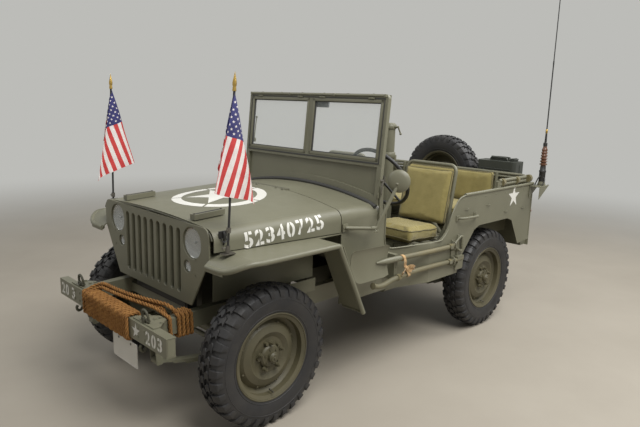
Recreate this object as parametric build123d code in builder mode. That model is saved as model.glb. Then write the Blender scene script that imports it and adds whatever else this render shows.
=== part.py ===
# Quarter-ton 4x4 army car: open steel tub on a ladder frame, live axles, fold-flat windshield.
# Frame: +X forward, +Y left, +Z up, origin on the ground under the middle of the car. Millimetres.
from build123d import *
import math
import os

os.makedirs("parts", exist_ok=True)

# Overall sizes
OVERALL_LENGTH = 3359.0
FRONT_OVERHANG = 527.0
WHEELBASE = 2032.0
TRACK = 1226.0
SEAT_GAP = 0.3
AXLE_F = OVERALL_LENGTH / 2 - FRONT_OVERHANG
AXLE_R = AXLE_F - WHEELBASE

# Wheels and tyres
TYRE_RADIUS = 358.0
TYRE_WIDTH = 160.0
RIM_RADIUS = 203.0
RIM_FLANGE = 220.0
RIM_WIDTH = 126.0
RIM_SHEET = 5.0
HUB_RADIUS = 58.0
HUB_REACH = 78.0
DRUM_RADIUS = 126.0
DRUM_DEPTH = 52.0
WHEEL_Z = TYRE_RADIUS
WHEEL_Y = TRACK / 2

# Axles and steering
AXLE_TUBE = 34.0
DIFF_RADIUS = 98.0
DIFF_Y = -96.0
BALL_RADIUS = 56.0
KINGPIN_Y = 540.0
KNUCKLE_WALL = 12.0
STEER_ARM = 140.0
TIE_ROD_RADIUS = 13.0
TIE_ROD_Z = WHEEL_Z + 34.0

# Ladder frame
RAIL_Y = 351.0
RAIL_WIDTH = 48.0
RAIL_TOP_MID = 520.0
RAIL_BOTTOM_MID = 415.0
RAIL_TOP_FRONT = 572.0
RAIL_BOTTOM_FRONT = 486.0
RAIL_TOP_REAR = 590.0
RAIL_BOTTOM_REAR = 500.0
RAIL_FRONT_END = AXLE_F + 475.7
RAIL_REAR_END = AXLE_R - 560.0

# Leaf springs
SPRING_Y = 343.0
LEAF_WIDTH = 44.0
LEAF_THICKNESS = 7.0
SPRING_RISE = 60.0
EYE_RADIUS = 18.0
PIN_RADIUS = 8.0

# Front bumper
BUMPER_FACE = AXLE_F + 522.0
BUMPER_HALF = 580.0
BUMPER_BOTTOM = 471.0
BUMPER_HEIGHT = 93.0
BUMPER_DEPTH = 46.0
BUMPER_SHEET = 6.0

# Body tub
PANEL = 5.0
COWL_HALF = 618.0
TUB_HALF = 708.0
TUB_REAR = AXLE_R - 578.0
FIREWALL_X = AXLE_F - 690.0
DASH_X = AXLE_F - 885.0
COWL_FRONT = AXLE_F - 523.0
SILL_Z = 490.0
SUMP_BOTTOM = 463.0
SUMP_DEPTH = 80.0
FLOOR_Z = 540.0
REAR_FLOOR_Z = 612.0
FLOOR_STEP_X = AXLE_R + 442.0
DOOR_FRONT = AXLE_F - 905.0
DOOR_REAR = AXLE_F - 1330.0
DOOR_SILL = 742.0
RAIL_TOP = 1012.0
TUB_BOTTOM_REAR = 574.0
WHEELHOUSE_TOP = 792.0
WHEELHOUSE_Y = 500.0
CAP_RADIUS = 11.0

# Hood, grille and fenders
GRILLE_X = AXLE_F + 262.0
GRILLE_HALF = 522.0
GRILLE_TOP = 1006.0
GRILLE_BOTTOM = 600.0
GRILLE_SHEET = 8.0
SLOT_PITCH = 64.7
SLOT_COUNT = 9
SLOT_WIDTH = 38.0
SLOT_TOP = 970.0
SLOT_BOTTOM = 640.0
LAMP_Y = 379.0
LAMP_Z = 915.0
LAMP_HOLE = 80.0
BLACKOUT_Y = 337.0
BLACKOUT_Z = 792.0
BLACKOUT_HOLE = 33.0
HOOD_SHEET = 5.0
HOOD_SIDE_Z = 898.0
HOOD_FRONT_HALF = 545.0
HOOD_FRONT_Z = 1003.0
HOOD_FRONT_CROWN = 1022.0
HOOD_REAR_Z = 1024.0
HOOD_REAR_CROWN = 1080.0
HOOD_CORNER = 62.0
HOOD_GAP = 5.5
FENDER_TOP = 893.0
FENDER_OUTER = TUB_HALF + 79.0
FENDER_SHEET = 5.0
APRON_Y = 397.0

# Windshield
WS_HINGE_X = AXLE_F - 842.0
WS_HINGE_Z = 1112.0
WS_HALF = COWL_HALF + 2.0
WS_TOP = 1642.0
WS_GLASS_LOW = 1262.0
WS_LEAN = 5.2
WS_TUBE = 26.0


# Box between limits, added to the piece that is being made.
def block(x_from, x_to, y_from, y_to, z_from, z_to, mode=Mode.ADD):
    with Locations(((x_from + x_to) / 2, (y_from + y_to) / 2, (z_from + z_to) / 2)):
        Box(x_to - x_from, y_to - y_from, z_to - z_from, mode=mode)


# Plate with an outline in X and Z, between two values of Y.
def side_plate(points, y_from, y_to, mode=Mode.ADD):
    with BuildSketch(Plane.XZ.offset(-y_to)) as outline:
        with BuildLine():
            Polyline(*points, close=True)
        make_face()
    extrude(outline.sketch, amount=y_to - y_from, mode=mode)


# Plate with an outline in X and Y, between two heights.
def flat_plate(points, z_from, z_to, mode=Mode.ADD):
    with BuildSketch(Plane.XY.offset(z_from)) as outline:
        with BuildLine():
            Polyline(*points, close=True)
        make_face()
    extrude(outline.sketch, amount=z_to - z_from, mode=mode)


# Round bar between two points.
def bar(start, end, radius, mode=Mode.ADD):
    run = Vector(*end) - Vector(*start)
    with BuildSketch(Plane(origin=start, z_dir=run)) as section:
        Circle(radius)
    extrude(section.sketch, amount=run.length, mode=mode)


# Round tube bent at its corners.
def bent_bar(points, bend, radius):
    with BuildLine() as route:
        FilletPolyline(*points, radius=bend)
    with BuildSketch(Plane(origin=route.line @ 0, z_dir=route.line % 0)) as section:
        Circle(radius)
    sweep(section.sketch, path=route.line)


def finish(piece, name):
    piece.part.label = name
    export_step(piece.part, f"parts/{name}.step")


# Wheels: each has a tyre, and a rim with its disc, hub and brake drum.
# Profiles are drawn as radius and distance along the axle, outward positive.
RIM_HALF = RIM_WIDTH / 2
RIM_WELL = RIM_RADIUS - 19.0
RIM_PROFILE = [
    (RIM_FLANGE, RIM_HALF), (RIM_RADIUS + 2, RIM_HALF - 9), (RIM_RADIUS, 22), (RIM_WELL, 12),
    (RIM_WELL, -22), (RIM_RADIUS, -32), (RIM_RADIUS + 2, 9 - RIM_HALF), (RIM_FLANGE, -RIM_HALF),
    (RIM_FLANGE - RIM_SHEET, -RIM_HALF - 4), (RIM_RADIUS - 5, -RIM_HALF + 5),
    (RIM_RADIUS - 6, -35), (RIM_WELL - 6, -25), (RIM_WELL - 6, 2), (150, 24), (122, 36), (98, 22),
    (HUB_RADIUS, 22), (HUB_RADIUS, 30), (94, 30), (120, 44), (154, 32), (RIM_WELL - 6, 10),
    (RIM_RADIUS - 6, 26), (RIM_RADIUS - 5, RIM_HALF - 5), (RIM_FLANGE - RIM_SHEET, RIM_HALF + 4),
]
DRUM_BACK = 22.0 - DRUM_DEPTH - 20.0
SPINDLE_RADIUS = 30.0
HUB_PROFILE = [
    (0, HUB_REACH), (24, HUB_REACH), (27, HUB_REACH - 4), (27, 56), (HUB_RADIUS - 8, 52),
    (HUB_RADIUS, 44), (HUB_RADIUS, 22), (DRUM_RADIUS - 6, 20), (DRUM_RADIUS, 14),
    (DRUM_RADIUS, DRUM_BACK), (DRUM_RADIUS - 8, DRUM_BACK), (DRUM_RADIUS - 8, 8),
    (SPINDLE_RADIUS + 0.5, 8), (SPINDLE_RADIUS + 0.5, 14), (0, 14),
]
LUG_BOLTS = 5
LUG_CIRCLE = 70.0
LUG_RADIUS = 9.0


def revolve_outline(points):
    with BuildSketch(Plane.XY) as outline:
        with BuildLine():
            Polyline(*points, close=True)
        make_face()
    revolve(outline.sketch, axis=Axis.Y)


with BuildPart() as rim_master:
    revolve_outline(RIM_PROFILE)
    with BuildSketch(Plane.XZ.offset(-30)):
        with PolarLocations(LUG_CIRCLE, LUG_BOLTS):
            Circle(LUG_RADIUS)
    extrude(amount=-18)

with BuildPart() as hub_master:
    revolve_outline(HUB_PROFILE)

TREAD_HALF = TYRE_WIDTH / 2 - 16
BEAD_RADIUS = RIM_RADIUS + 2 + SEAT_GAP
BEAD_HALF = RIM_HALF - 9 - SEAT_GAP
with BuildPart() as tyre_master:
    with BuildSketch(Plane.XY):
        with BuildLine():
            half = TYRE_WIDTH / 2
            Polyline((BEAD_RADIUS, -BEAD_HALF), (RIM_FLANGE + SEAT_GAP, -RIM_HALF + SEAT_GAP),
                     (RIM_FLANGE + 4, -RIM_HALF - 4))
            ThreePointArc((RIM_FLANGE + 4, -RIM_HALF - 4), (284, -half), (336, -half + 8))
            Line((336, -half + 8), (TYRE_RADIUS - 6, -TREAD_HALF))
            ThreePointArc((TYRE_RADIUS - 6, -TREAD_HALF), (TYRE_RADIUS, 0), (TYRE_RADIUS - 6, TREAD_HALF))
            Line((TYRE_RADIUS - 6, TREAD_HALF), (336, half - 8))
            ThreePointArc((336, half - 8), (284, half), (RIM_FLANGE + 4, RIM_HALF + 4))
            Polyline((RIM_FLANGE + 4, RIM_HALF + 4), (RIM_FLANGE + SEAT_GAP, RIM_HALF - SEAT_GAP),
                     (BEAD_RADIUS, BEAD_HALF), (BEAD_RADIUS, -BEAD_HALF))
        make_face()
    revolve(axis=Axis.Y)

# Spare wheel: hung on the rear panel, its hub side turned forward.
SPARE_Y = -215.0
SPARE_Z = 968.0
CARRIER_RADIUS = 55.0
SPARE_GAP = 62.0
SPARE_X = TUB_REAR - SPARE_GAP - TYRE_WIDTH / 2
SPARE_DISC = SPARE_X - 22.0

# Wheel name, axle position along X, side (left +1, right -1)
WHEELS = [
    ("front_left", AXLE_F, 1), ("front_right", AXLE_F, -1),
    ("rear_left", AXLE_R, 1), ("rear_right", AXLE_R, -1),
]
for place, x, side in WHEELS:
    turn = 0 if side > 0 else 180
    spot = Location((x, side * WHEEL_Y, WHEEL_Z), (0, 0, turn))
    with BuildPart() as tyre:
        with Locations(spot):
            add(tyre_master.part)
    finish(tyre, f"tyre_{place}")
    with BuildPart() as wheel:
        with Locations(spot):
            add(rim_master.part)
            add(hub_master.part)
    finish(wheel, f"wheel_{place}")

spare_spot = Location((SPARE_X, SPARE_Y, SPARE_Z), (0, 0, 90))
with BuildPart() as spare_tyre:
    with Locations(spare_spot):
        add(tyre_master.part)
finish(spare_tyre, "spare_tyre")
with BuildPart() as spare_wheel:
    with Locations(spare_spot):
        add(rim_master.part)
finish(spare_wheel, "spare_wheel")

# Ladder frame: two side rails with a kick-up over each axle, joined by cross members.
RAIL_OUTLINE = [
    (RAIL_FRONT_END, RAIL_TOP_FRONT - 14), (AXLE_F + 150, RAIL_TOP_FRONT), (AXLE_F - 250, RAIL_TOP_FRONT),
    (AXLE_F - 450, RAIL_TOP_MID), (AXLE_F - 1610, RAIL_TOP_MID), (AXLE_R + 230, RAIL_TOP_REAR),
    (AXLE_R - 220, RAIL_TOP_REAR), (RAIL_REAR_END, RAIL_TOP_REAR - 26),
    (RAIL_REAR_END, RAIL_BOTTOM_REAR), (AXLE_R + 250, RAIL_BOTTOM_REAR),
    (AXLE_F - 1500, RAIL_BOTTOM_MID), (AXLE_F - 450, RAIL_BOTTOM_MID),
    (AXLE_F - 250, RAIL_BOTTOM_FRONT), (AXLE_F + 150, RAIL_BOTTOM_FRONT),
    (RAIL_FRONT_END, RAIL_BOTTOM_FRONT - 6),
]
RAIL_IN = RAIL_Y - RAIL_WIDTH / 2
RAIL_OUT = RAIL_Y + RAIL_WIDTH / 2
EYE_Z = 362.0
FRONT_SPRING_HALF = 440.0
REAR_SPRING_HALF = 533.0
HANGER_HALF = LEAF_WIDTH / 2 + 7

# Spring hanger: middle X, underside of the rail above it
HANGERS = [
    (AXLE_F + FRONT_SPRING_HALF, RAIL_BOTTOM_FRONT - 6), (AXLE_F - FRONT_SPRING_HALF, RAIL_BOTTOM_MID),
    (AXLE_R + REAR_SPRING_HALF, RAIL_BOTTOM_MID), (AXLE_R - REAR_SPRING_HALF, RAIL_BOTTOM_REAR),
]
# Cross member: front X, back X, bottom Z, top Z
CROSS_MEMBERS = [
    (AXLE_F + 218, AXLE_F + 160, 490, 540),
    (AXLE_F - 930, AXLE_F - 1110, 400, 424),
    (AXLE_R + 190, AXLE_R + 130, 510, 580),
    (RAIL_REAR_END + 60, RAIL_REAR_END, RAIL_BOTTOM_REAR, RAIL_TOP_REAR - 26),
]
ENGINE_Y = 34.0
ENGINE_HALF = 150.0
ENGINE_MOUNT_X = AXLE_F - 60.0
# Body pad: middle X, rail top, underside of the floor above it
BODY_PADS = [
    (AXLE_F - 1000, RAIL_TOP_MID, FLOOR_Z), (AXLE_F - 1450, RAIL_TOP_MID, FLOOR_Z),
    (AXLE_R + 130, RAIL_TOP_REAR, REAR_FLOOR_Z), (AXLE_R - 180, RAIL_TOP_REAR, REAR_FLOOR_Z),
]
with BuildPart() as chassis_frame:
    for side in (-1, 1):
        side_plate(RAIL_OUTLINE, side * RAIL_Y - RAIL_WIDTH / 2, side * RAIL_Y + RAIL_WIDTH / 2)
    for x_front, x_back, z_low, z_high in CROSS_MEMBERS:
        block(x_back, x_front, -RAIL_IN, RAIL_IN, z_low, z_high)
    for side in (-1, 1):
        near = ENGINE_Y + side * (ENGINE_HALF + SEAT_GAP)
        far = side * (RAIL_IN + 1)
        block(ENGINE_MOUNT_X - 30, ENGINE_MOUNT_X + 30, min(near, far), max(near, far), 500, 522)
    for side in (-1, 1):
        bar((RAIL_REAR_END + 330, side * (RAIL_IN + 4), 535), (RAIL_REAR_END + 50, side * 60, 535), 20)
        for x, z_top, z_body in BODY_PADS:
            block(x - 30, x + 30, side * RAIL_Y - 22, side * RAIL_Y + 22, z_top - 1, z_body - SEAT_GAP)
finish(chassis_frame, "chassis_frame")

with BuildPart() as spring_hangers:
    for side in (-1, 1):
        for x, z_rail in HANGERS:
            for face in (-1, 1):
                y = side * SPRING_Y + face * (HANGER_HALF - 2.5)
                side_plate([(x - 26, z_rail - 2), (x + 26, z_rail - 2), (x + 15, EYE_Z - 16), (x - 15, EYE_Z - 16)],
                           y - 2.5, y + 2.5)
            block(x - 26, x + 26, side * SPRING_Y - HANGER_HALF, side * SPRING_Y + HANGER_HALF,
                  z_rail - 9, z_rail - SEAT_GAP)
            bar((x, side * SPRING_Y - HANGER_HALF, EYE_Z), (x, side * SPRING_Y + HANGER_HALF, EYE_Z), PIN_RADIUS)
finish(spring_hangers, "spring_hangers")

# Leaf springs: concentric arcs under each axle, the main leaf on top with an eye at each end.
LEAF_SHARES = [1.0, 0.84, 0.67, 0.5, 0.33]


def leaf_spring(x_mid, y_mid, half_length):
    radius = (half_length ** 2 + SPRING_RISE ** 2) / (2 * SPRING_RISE)
    z_centre = EYE_Z - SPRING_RISE + radius
    for layer, share in enumerate(LEAF_SHARES):
        r_in = radius + layer * LEAF_THICKNESS
        r_out = r_in + LEAF_THICKNESS
        angle = math.asin(share * (half_length - PIN_RADIUS - 4) / radius)
        with BuildSketch(Plane.XZ.offset(-(y_mid + LEAF_WIDTH / 2))) as leaf:
            with BuildLine():
                low = (x_mid, z_centre - r_out)
                high = (x_mid, z_centre - r_in)
                s = math.sin(angle)
                c = math.cos(angle)
                ThreePointArc((x_mid - r_in * s, z_centre - r_in * c), high, (x_mid + r_in * s, z_centre - r_in * c))
                Line((x_mid + r_in * s, z_centre - r_in * c), (x_mid + r_out * s, z_centre - r_out * c))
                ThreePointArc((x_mid + r_out * s, z_centre - r_out * c), low,
                              (x_mid - r_out * s, z_centre - r_out * c))
                Line((x_mid - r_out * s, z_centre - r_out * c), (x_mid - r_in * s, z_centre - r_in * c))
            make_face()
        extrude(leaf.sketch, amount=LEAF_WIDTH)
    for end in (-1, 1):
        x = x_mid + end * half_length
        bar((x, y_mid - LEAF_WIDTH / 2, EYE_Z), (x, y_mid + LEAF_WIDTH / 2, EYE_Z), EYE_RADIUS)
        bar((x, y_mid - LEAF_WIDTH, EYE_Z), (x, y_mid + LEAF_WIDTH, EYE_Z), PIN_RADIUS + SEAT_GAP, mode=Mode.SUBTRACT)


SPRING_TOP = EYE_Z - SPRING_RISE
# Spring pair: axle X, half length between eyes
SPRINGS = [(AXLE_F, FRONT_SPRING_HALF), (AXLE_R, REAR_SPRING_HALF)]
with BuildPart() as springs:
    for x_mid, half_length in SPRINGS:
        for side in (-1, 1):
            leaf_spring(x_mid, side * SPRING_Y, half_length)
finish(springs, "leaf_springs")

# Axles: tube with the drive housing on the right, seats on the springs.
SEAT_HALF = 48.0
SPRING_SEAT = 0.9
with BuildPart() as front_axle:
    bar((AXLE_F, -KINGPIN_Y, WHEEL_Z), (AXLE_F, KINGPIN_Y, WHEEL_Z), AXLE_TUBE)
    with Locations((AXLE_F, DIFF_Y, WHEEL_Z)):
        Sphere(DIFF_RADIUS)
    with Locations((AXLE_F, -KINGPIN_Y, WHEEL_Z), (AXLE_F, KINGPIN_Y, WHEEL_Z)):
        Sphere(BALL_RADIUS)
    bar((AXLE_F, DIFF_Y, WHEEL_Z), (AXLE_F - 190, DIFF_Y, WHEEL_Z + 16), 42)
    for side in (-1, 1):
        block(AXLE_F - SEAT_HALF, AXLE_F + SEAT_HALF, side * SPRING_Y - 26, side * SPRING_Y + 26,
              SPRING_TOP + SPRING_SEAT, WHEEL_Z - 10)
finish(front_axle, "front_axle")

REAR_FLANGE_Y = WHEEL_Y + DRUM_BACK - 6
with BuildPart() as rear_axle:
    bar((AXLE_R, -REAR_FLANGE_Y, WHEEL_Z), (AXLE_R, REAR_FLANGE_Y, WHEEL_Z), AXLE_TUBE)
    with Locations((AXLE_R, DIFF_Y, WHEEL_Z)):
        Sphere(DIFF_RADIUS)
    bar((AXLE_R, DIFF_Y, WHEEL_Z), (AXLE_R + 190, DIFF_Y, WHEEL_Z + 16), 42)
    for side in (-1, 1):
        bar((AXLE_R, side * REAR_FLANGE_Y, WHEEL_Z), (AXLE_R, side * (REAR_FLANGE_Y - 6), WHEEL_Z), DRUM_RADIUS - 2)
        bar((AXLE_R, side * REAR_FLANGE_Y, WHEEL_Z), (AXLE_R, side * (WHEEL_Y + 10), WHEEL_Z), SPINDLE_RADIUS)
        block(AXLE_R - SEAT_HALF, AXLE_R + SEAT_HALF, side * SPRING_Y - 26, side * SPRING_Y + 26,
              SPRING_TOP + SPRING_SEAT, WHEEL_Z - 10)
finish(rear_axle, "rear_axle")

# Steering knuckles: half shell over the axle's ball, kingpin bosses, brake plate, spindle and arm.
SHELL_IN = BALL_RADIUS + 0.5
SHELL_OUT = SHELL_IN + KNUCKLE_WALL
PLATE_Y = WHEEL_Y + DRUM_BACK - 8
ARM_X = AXLE_F + STEER_ARM
ARM_Y = KINGPIN_Y
for place, side in (("left", 1), ("right", -1)):
    with BuildPart() as knuckle:
        with Locations((AXLE_F, side * KINGPIN_Y, WHEEL_Z)):
            Sphere(SHELL_OUT)
            Cylinder(24, 2 * SHELL_OUT + 18)
            Sphere(SHELL_IN, mode=Mode.SUBTRACT)
        outer = side * (KINGPIN_Y - 18)
        cut = side * (KINGPIN_Y - 150)
        block(AXLE_F - 120, AXLE_F + 120, min(outer, cut), max(outer, cut), WHEEL_Z - 50, WHEEL_Z + 50,
              mode=Mode.SUBTRACT)
        bar((AXLE_F, side * (PLATE_Y - 6), WHEEL_Z), (AXLE_F, side * PLATE_Y, WHEEL_Z), DRUM_RADIUS - 2)
        bar((AXLE_F, side * (KINGPIN_Y + SHELL_IN + 4), WHEEL_Z), (AXLE_F, side * (WHEEL_Y + 10), WHEEL_Z), SPINDLE_RADIUS)
        flat_plate([(AXLE_F + BALL_RADIUS, side * (KINGPIN_Y + 16)), (AXLE_F + BALL_RADIUS, side * (KINGPIN_Y - 12)),
                    (ARM_X + 14, side * (ARM_Y - 12)), (ARM_X + 14, side * (ARM_Y + 12))],
                   TIE_ROD_Z - 34, TIE_ROD_Z - 18)
        bar((ARM_X, side * ARM_Y, TIE_ROD_Z - 34), (ARM_X, side * ARM_Y, TIE_ROD_Z - 14), 15)
        with Locations((AXLE_F, side * KINGPIN_Y, WHEEL_Z)):
            Sphere(SHELL_IN, mode=Mode.SUBTRACT)
    finish(knuckle, f"knuckle_{place}")

with BuildPart() as tie_rod:
    bar((ARM_X, -ARM_Y, TIE_ROD_Z), (ARM_X, ARM_Y, TIE_ROD_Z), TIE_ROD_RADIUS)
    for side in (-1, 1):
        bar((ARM_X, side * ARM_Y, TIE_ROD_Z - 13.7), (ARM_X, side * ARM_Y, TIE_ROD_Z + 18), 17)
finish(tie_rod, "tie_rod")

# Front bumper: channel open to the rear with a wide gusset over each frame horn.
BUMPER_BACK = BUMPER_FACE - BUMPER_DEPTH
BUMPER_TOP = BUMPER_BOTTOM + BUMPER_HEIGHT
GUSSET_REACH = 70.0
with BuildPart() as front_bumper:
    block(BUMPER_BACK, BUMPER_FACE, -BUMPER_HALF, BUMPER_HALF, BUMPER_BOTTOM, BUMPER_TOP)
    block(BUMPER_BACK - 1, BUMPER_FACE - BUMPER_SHEET, -BUMPER_HALF - 1, BUMPER_HALF + 1,
          BUMPER_BOTTOM + BUMPER_SHEET, BUMPER_TOP - BUMPER_SHEET, mode=Mode.SUBTRACT)
    for side in (-1, 1):
        y = side * RAIL_Y
        flat_plate([(BUMPER_BACK + 34, y - 95), (BUMPER_BACK + 34, y + 95), (BUMPER_BACK, y + 95),
                    (BUMPER_BACK - GUSSET_REACH, y + 30), (BUMPER_BACK - GUSSET_REACH, y - 30), (BUMPER_BACK, y - 95)],
                   BUMPER_TOP, BUMPER_TOP + BUMPER_SHEET)
finish(front_bumper, "front_bumper")

# Rear end: pintle hook on the rear cross member and a bumperette under each corner.
HITCH_Z = 532.0
HITCH_X = RAIL_REAR_END
with BuildPart() as pintle_hook:
    block(HITCH_X - 12, HITCH_X - SEAT_GAP, -62, 62, HITCH_Z - 36, HITCH_Z + 30)
    bar((HITCH_X - 12, 0, HITCH_Z), (HITCH_X - 60, 0, HITCH_Z), 24)
    with BuildSketch(Plane.XZ.offset(-20)):
        with BuildLine():
            x0 = HITCH_X - 62
            Polyline((x0 + 20, HITCH_Z - 22), (x0 + 20, HITCH_Z + 24), (x0 - 52, HITCH_Z + 30), (x0 - 58, HITCH_Z + 16),
                     (x0 - 6, HITCH_Z + 10), (x0 - 10, HITCH_Z - 8), (x0 - 40, HITCH_Z - 10), (x0 - 46, HITCH_Z + 8),
                     (x0 - 62, HITCH_Z + 6), (x0 - 58, HITCH_Z - 26), (x0 - 30, HITCH_Z - 36), close=True)
        make_face()
    extrude(amount=40)
finish(pintle_hook, "pintle_hook")

BUMPERETTE_Y = 545.0
with BuildPart() as rear_bumperettes:
    for side in (-1, 1):
        y = side * BUMPERETTE_Y
        x0 = TUB_REAR
        block(x0 - 96, x0 - 90, y - 120, y + 120, 500, 600)
        block(x0 - 90, x0 - SEAT_GAP, y - 100, y - 94, 505, 595)
        block(x0 - 90, x0 - SEAT_GAP, y + 94, y + 100, 505, 595)
        block(x0 - 6, x0 - SEAT_GAP, y - 100, y + 100, 505, 600)
finish(rear_bumperettes, "rear_bumperettes")

# Body tub: side panels flare from the narrow cowl to the full width behind the door opening.
COWL_LIP = COWL_FRONT - HOOD_GAP
FLARE_FRONT = AXLE_F - 930
FLARE_REAR = AXLE_F - 1250
SIDE_PLAN = [
    (COWL_LIP, COWL_HALF - PANEL), (FLARE_FRONT, COWL_HALF - PANEL), (FLARE_REAR, TUB_HALF - PANEL),
    (TUB_REAR, TUB_HALF - PANEL), (TUB_REAR, TUB_HALF), (FLARE_REAR, TUB_HALF), (FLARE_FRONT, COWL_HALF),
    (COWL_LIP, COWL_HALF),
]
ARCH_OUTLINE = [
    (AXLE_R + 470, SILL_Z - 200), (AXLE_R + 440, 560), (AXLE_R + 260, 760), (AXLE_R + 200, 782),
    (AXLE_R - 200, 782), (AXLE_R - 270, 760), (AXLE_R - 400, 560), (AXLE_R - 400, SILL_Z - 200),
]
DASH_BOTTOM = 872.0
COLUMN_RADIUS = 22.0
COLUMN_LOW = (AXLE_F - 330, 340, 600)
COLUMN_HIGH = (AXLE_F - 1160, 340, 1115)
WHEELHOUSE_FRONT = AXLE_R + 282
TOE_BACK = AXLE_F - 1010
TOE_TOP = 700.0
HINGE_PIN = 6.0
BRACKET_Y = WS_HALF + 5.0
HOOD_PIN_Z = HOOD_REAR_CROWN - 3.0
BARREL_RADIUS = 5.0
HOOD_PIN = 2.8
HINGE_HALF = 180.0
HINGE_MIDDLE = 60.0


# Closed outline across the car: upright sides, round corners and a crowned top.
def hood_section(x, half, corner_z, crown_z, bottom_z, corner):
    with BuildSketch(Plane.YZ.offset(x)) as section:
        with BuildLine():
            k = corner * (1 - math.sqrt(0.5))
            Polyline((-half, bottom_z), (-half, corner_z - corner))
            ThreePointArc((-half, corner_z - corner), (-half + k, corner_z - k), (-half + corner, corner_z))
            ThreePointArc((-half + corner, corner_z), (0, crown_z), (half - corner, corner_z))
            ThreePointArc((half - corner, corner_z), (half - k, corner_z - k), (half, corner_z - corner))
            Polyline((half, corner_z - corner), (half, bottom_z), (-half, bottom_z))
        make_face()
    return section.sketch.face()


# The cowl keeps the shape of the hood's rear edge.
def cowl_section(x, inset, bottom_z):
    return hood_section(x, COWL_HALF - inset, HOOD_REAR_Z - inset, HOOD_REAR_CROWN - inset, bottom_z,
                        HOOD_CORNER - inset)


with BuildPart() as body_tub:
    for side in (-1, 1):
        flat_plate([(x, side * y) for x, y in SIDE_PLAN], SILL_Z, RAIL_TOP)
    # Door openings, rear arches and the raised tail are cut through both sides.
    with BuildSketch(Plane.XZ.offset(-900)):
        with BuildLine():
            Polyline((DOOR_FRONT, RAIL_TOP + 88), (DOOR_FRONT, DOOR_SILL + 60))
            ThreePointArc((DOOR_FRONT, DOOR_SILL + 60), (DOOR_FRONT - 18, DOOR_SILL + 18), (DOOR_FRONT - 60, DOOR_SILL))
            Line((DOOR_FRONT - 60, DOOR_SILL), (DOOR_REAR, DOOR_SILL))
            ThreePointArc((DOOR_REAR, DOOR_SILL), (DOOR_REAR - 85, DOOR_SILL + 50), (DOOR_REAR - 130, DOOR_SILL + 130))
            Line((DOOR_REAR - 130, DOOR_SILL + 130), (DOOR_REAR - 190, RAIL_TOP - 62))
            ThreePointArc((DOOR_REAR - 190, RAIL_TOP - 62), (DOOR_REAR - 240, RAIL_TOP - 16),
                          (DOOR_REAR - 310, RAIL_TOP))
            Polyline((DOOR_REAR - 310, RAIL_TOP), (DOOR_REAR - 310, RAIL_TOP + 88), (DOOR_FRONT, RAIL_TOP + 88))
        make_face()
    extrude(amount=1800, mode=Mode.SUBTRACT)
    side_plate(ARCH_OUTLINE, -900, 900, mode=Mode.SUBTRACT)
    block(DASH_X, COWL_LIP + 1, -900, 900, HOOD_SIDE_Z, RAIL_TOP + 60, mode=Mode.SUBTRACT)
    # Cowl: continues the hood's shell back to the dash, closed there and by the firewall.
    extrude(cowl_section(DASH_X, 0, HOOD_SIDE_Z), amount=COWL_LIP - DASH_X)
    extrude(cowl_section(DASH_X - 1, PANEL, HOOD_SIDE_Z - 1), amount=COWL_LIP - DASH_X + 2, mode=Mode.SUBTRACT)
    extrude(cowl_section(DASH_X, 2, DASH_BOTTOM), amount=PANEL)
    extrude(cowl_section(FIREWALL_X, 2, TOE_TOP), amount=PANEL)
    side_plate([(TUB_REAR - 10, SILL_Z - 50), (AXLE_R - 390, SILL_Z - 50), (AXLE_R - 390, 560),
                (TUB_REAR - 10, TUB_BOTTOM_REAR)], -900, 900, mode=Mode.SUBTRACT)
    # Floors, toe board, firewall and the riser under the rear seat.
    block(FLOOR_STEP_X, TOE_BACK + 2, -COWL_HALF + 1, COWL_HALF - 1, FLOOR_Z, FLOOR_Z + PANEL)
    block(TUB_REAR, FLOOR_STEP_X, -WHEELHOUSE_Y, WHEELHOUSE_Y, REAR_FLOOR_Z, REAR_FLOOR_Z + PANEL)
    block(FLOOR_STEP_X - PANEL, FLOOR_STEP_X, -TUB_HALF + 1, TUB_HALF - 1, FLOOR_Z, REAR_FLOOR_Z + PANEL)
    side_plate([(TOE_BACK, FLOOR_Z), (FIREWALL_X + PANEL, TOE_TOP), (FIREWALL_X + PANEL, TOE_TOP + 8),
                (TOE_BACK, FLOOR_Z + 8)], -COWL_HALF + 1, COWL_HALF - 1)
    # Floor extends out to the flared sides beside the seats.
    for side in (-1, 1):
        flat_plate([(FLARE_FRONT, side * (COWL_HALF - 2)), (FLARE_REAR, side * (TUB_HALF - 2)),
                    (FLOOR_STEP_X, side * (TUB_HALF - 2)), (FLOOR_STEP_X, side * (COWL_HALF - 2))],
                   FLOOR_Z, FLOOR_Z + PANEL)
        # Wheel houses over the rear wheels.
        inner = side * WHEELHOUSE_Y
        outer = side * (TUB_HALF - 1)
        wall = side * (WHEELHOUSE_Y + PANEL)
        low_front = (FLOOR_STEP_X, REAR_FLOOR_Z)
        side_plate([(TUB_REAR, REAR_FLOOR_Z), low_front, (WHEELHOUSE_FRONT, WHEELHOUSE_TOP + PANEL),
                    (TUB_REAR, WHEELHOUSE_TOP + PANEL)], min(inner, wall), max(inner, wall))
        side_plate([(FLOOR_STEP_X - 6, REAR_FLOOR_Z), low_front, (WHEELHOUSE_FRONT, WHEELHOUSE_TOP + PANEL),
                    (TUB_REAR, WHEELHOUSE_TOP + PANEL), (TUB_REAR, WHEELHOUSE_TOP),
                    (WHEELHOUSE_FRONT - 2, WHEELHOUSE_TOP)], min(inner, outer), max(inner, outer))
    # Fuel tank sump below the driver's side floor, outboard of the frame rail.
    with BuildSketch(Plane.YZ.offset(AXLE_F - 1545)):
        with Locations(((RAIL_OUT + COWL_HALF) / 2 + 6, SUMP_BOTTOM + SUMP_DEPTH / 2)):
            RectangleRounded(COWL_HALF - RAIL_OUT - 16, SUMP_DEPTH, 34)
    extrude(amount=600)
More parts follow.
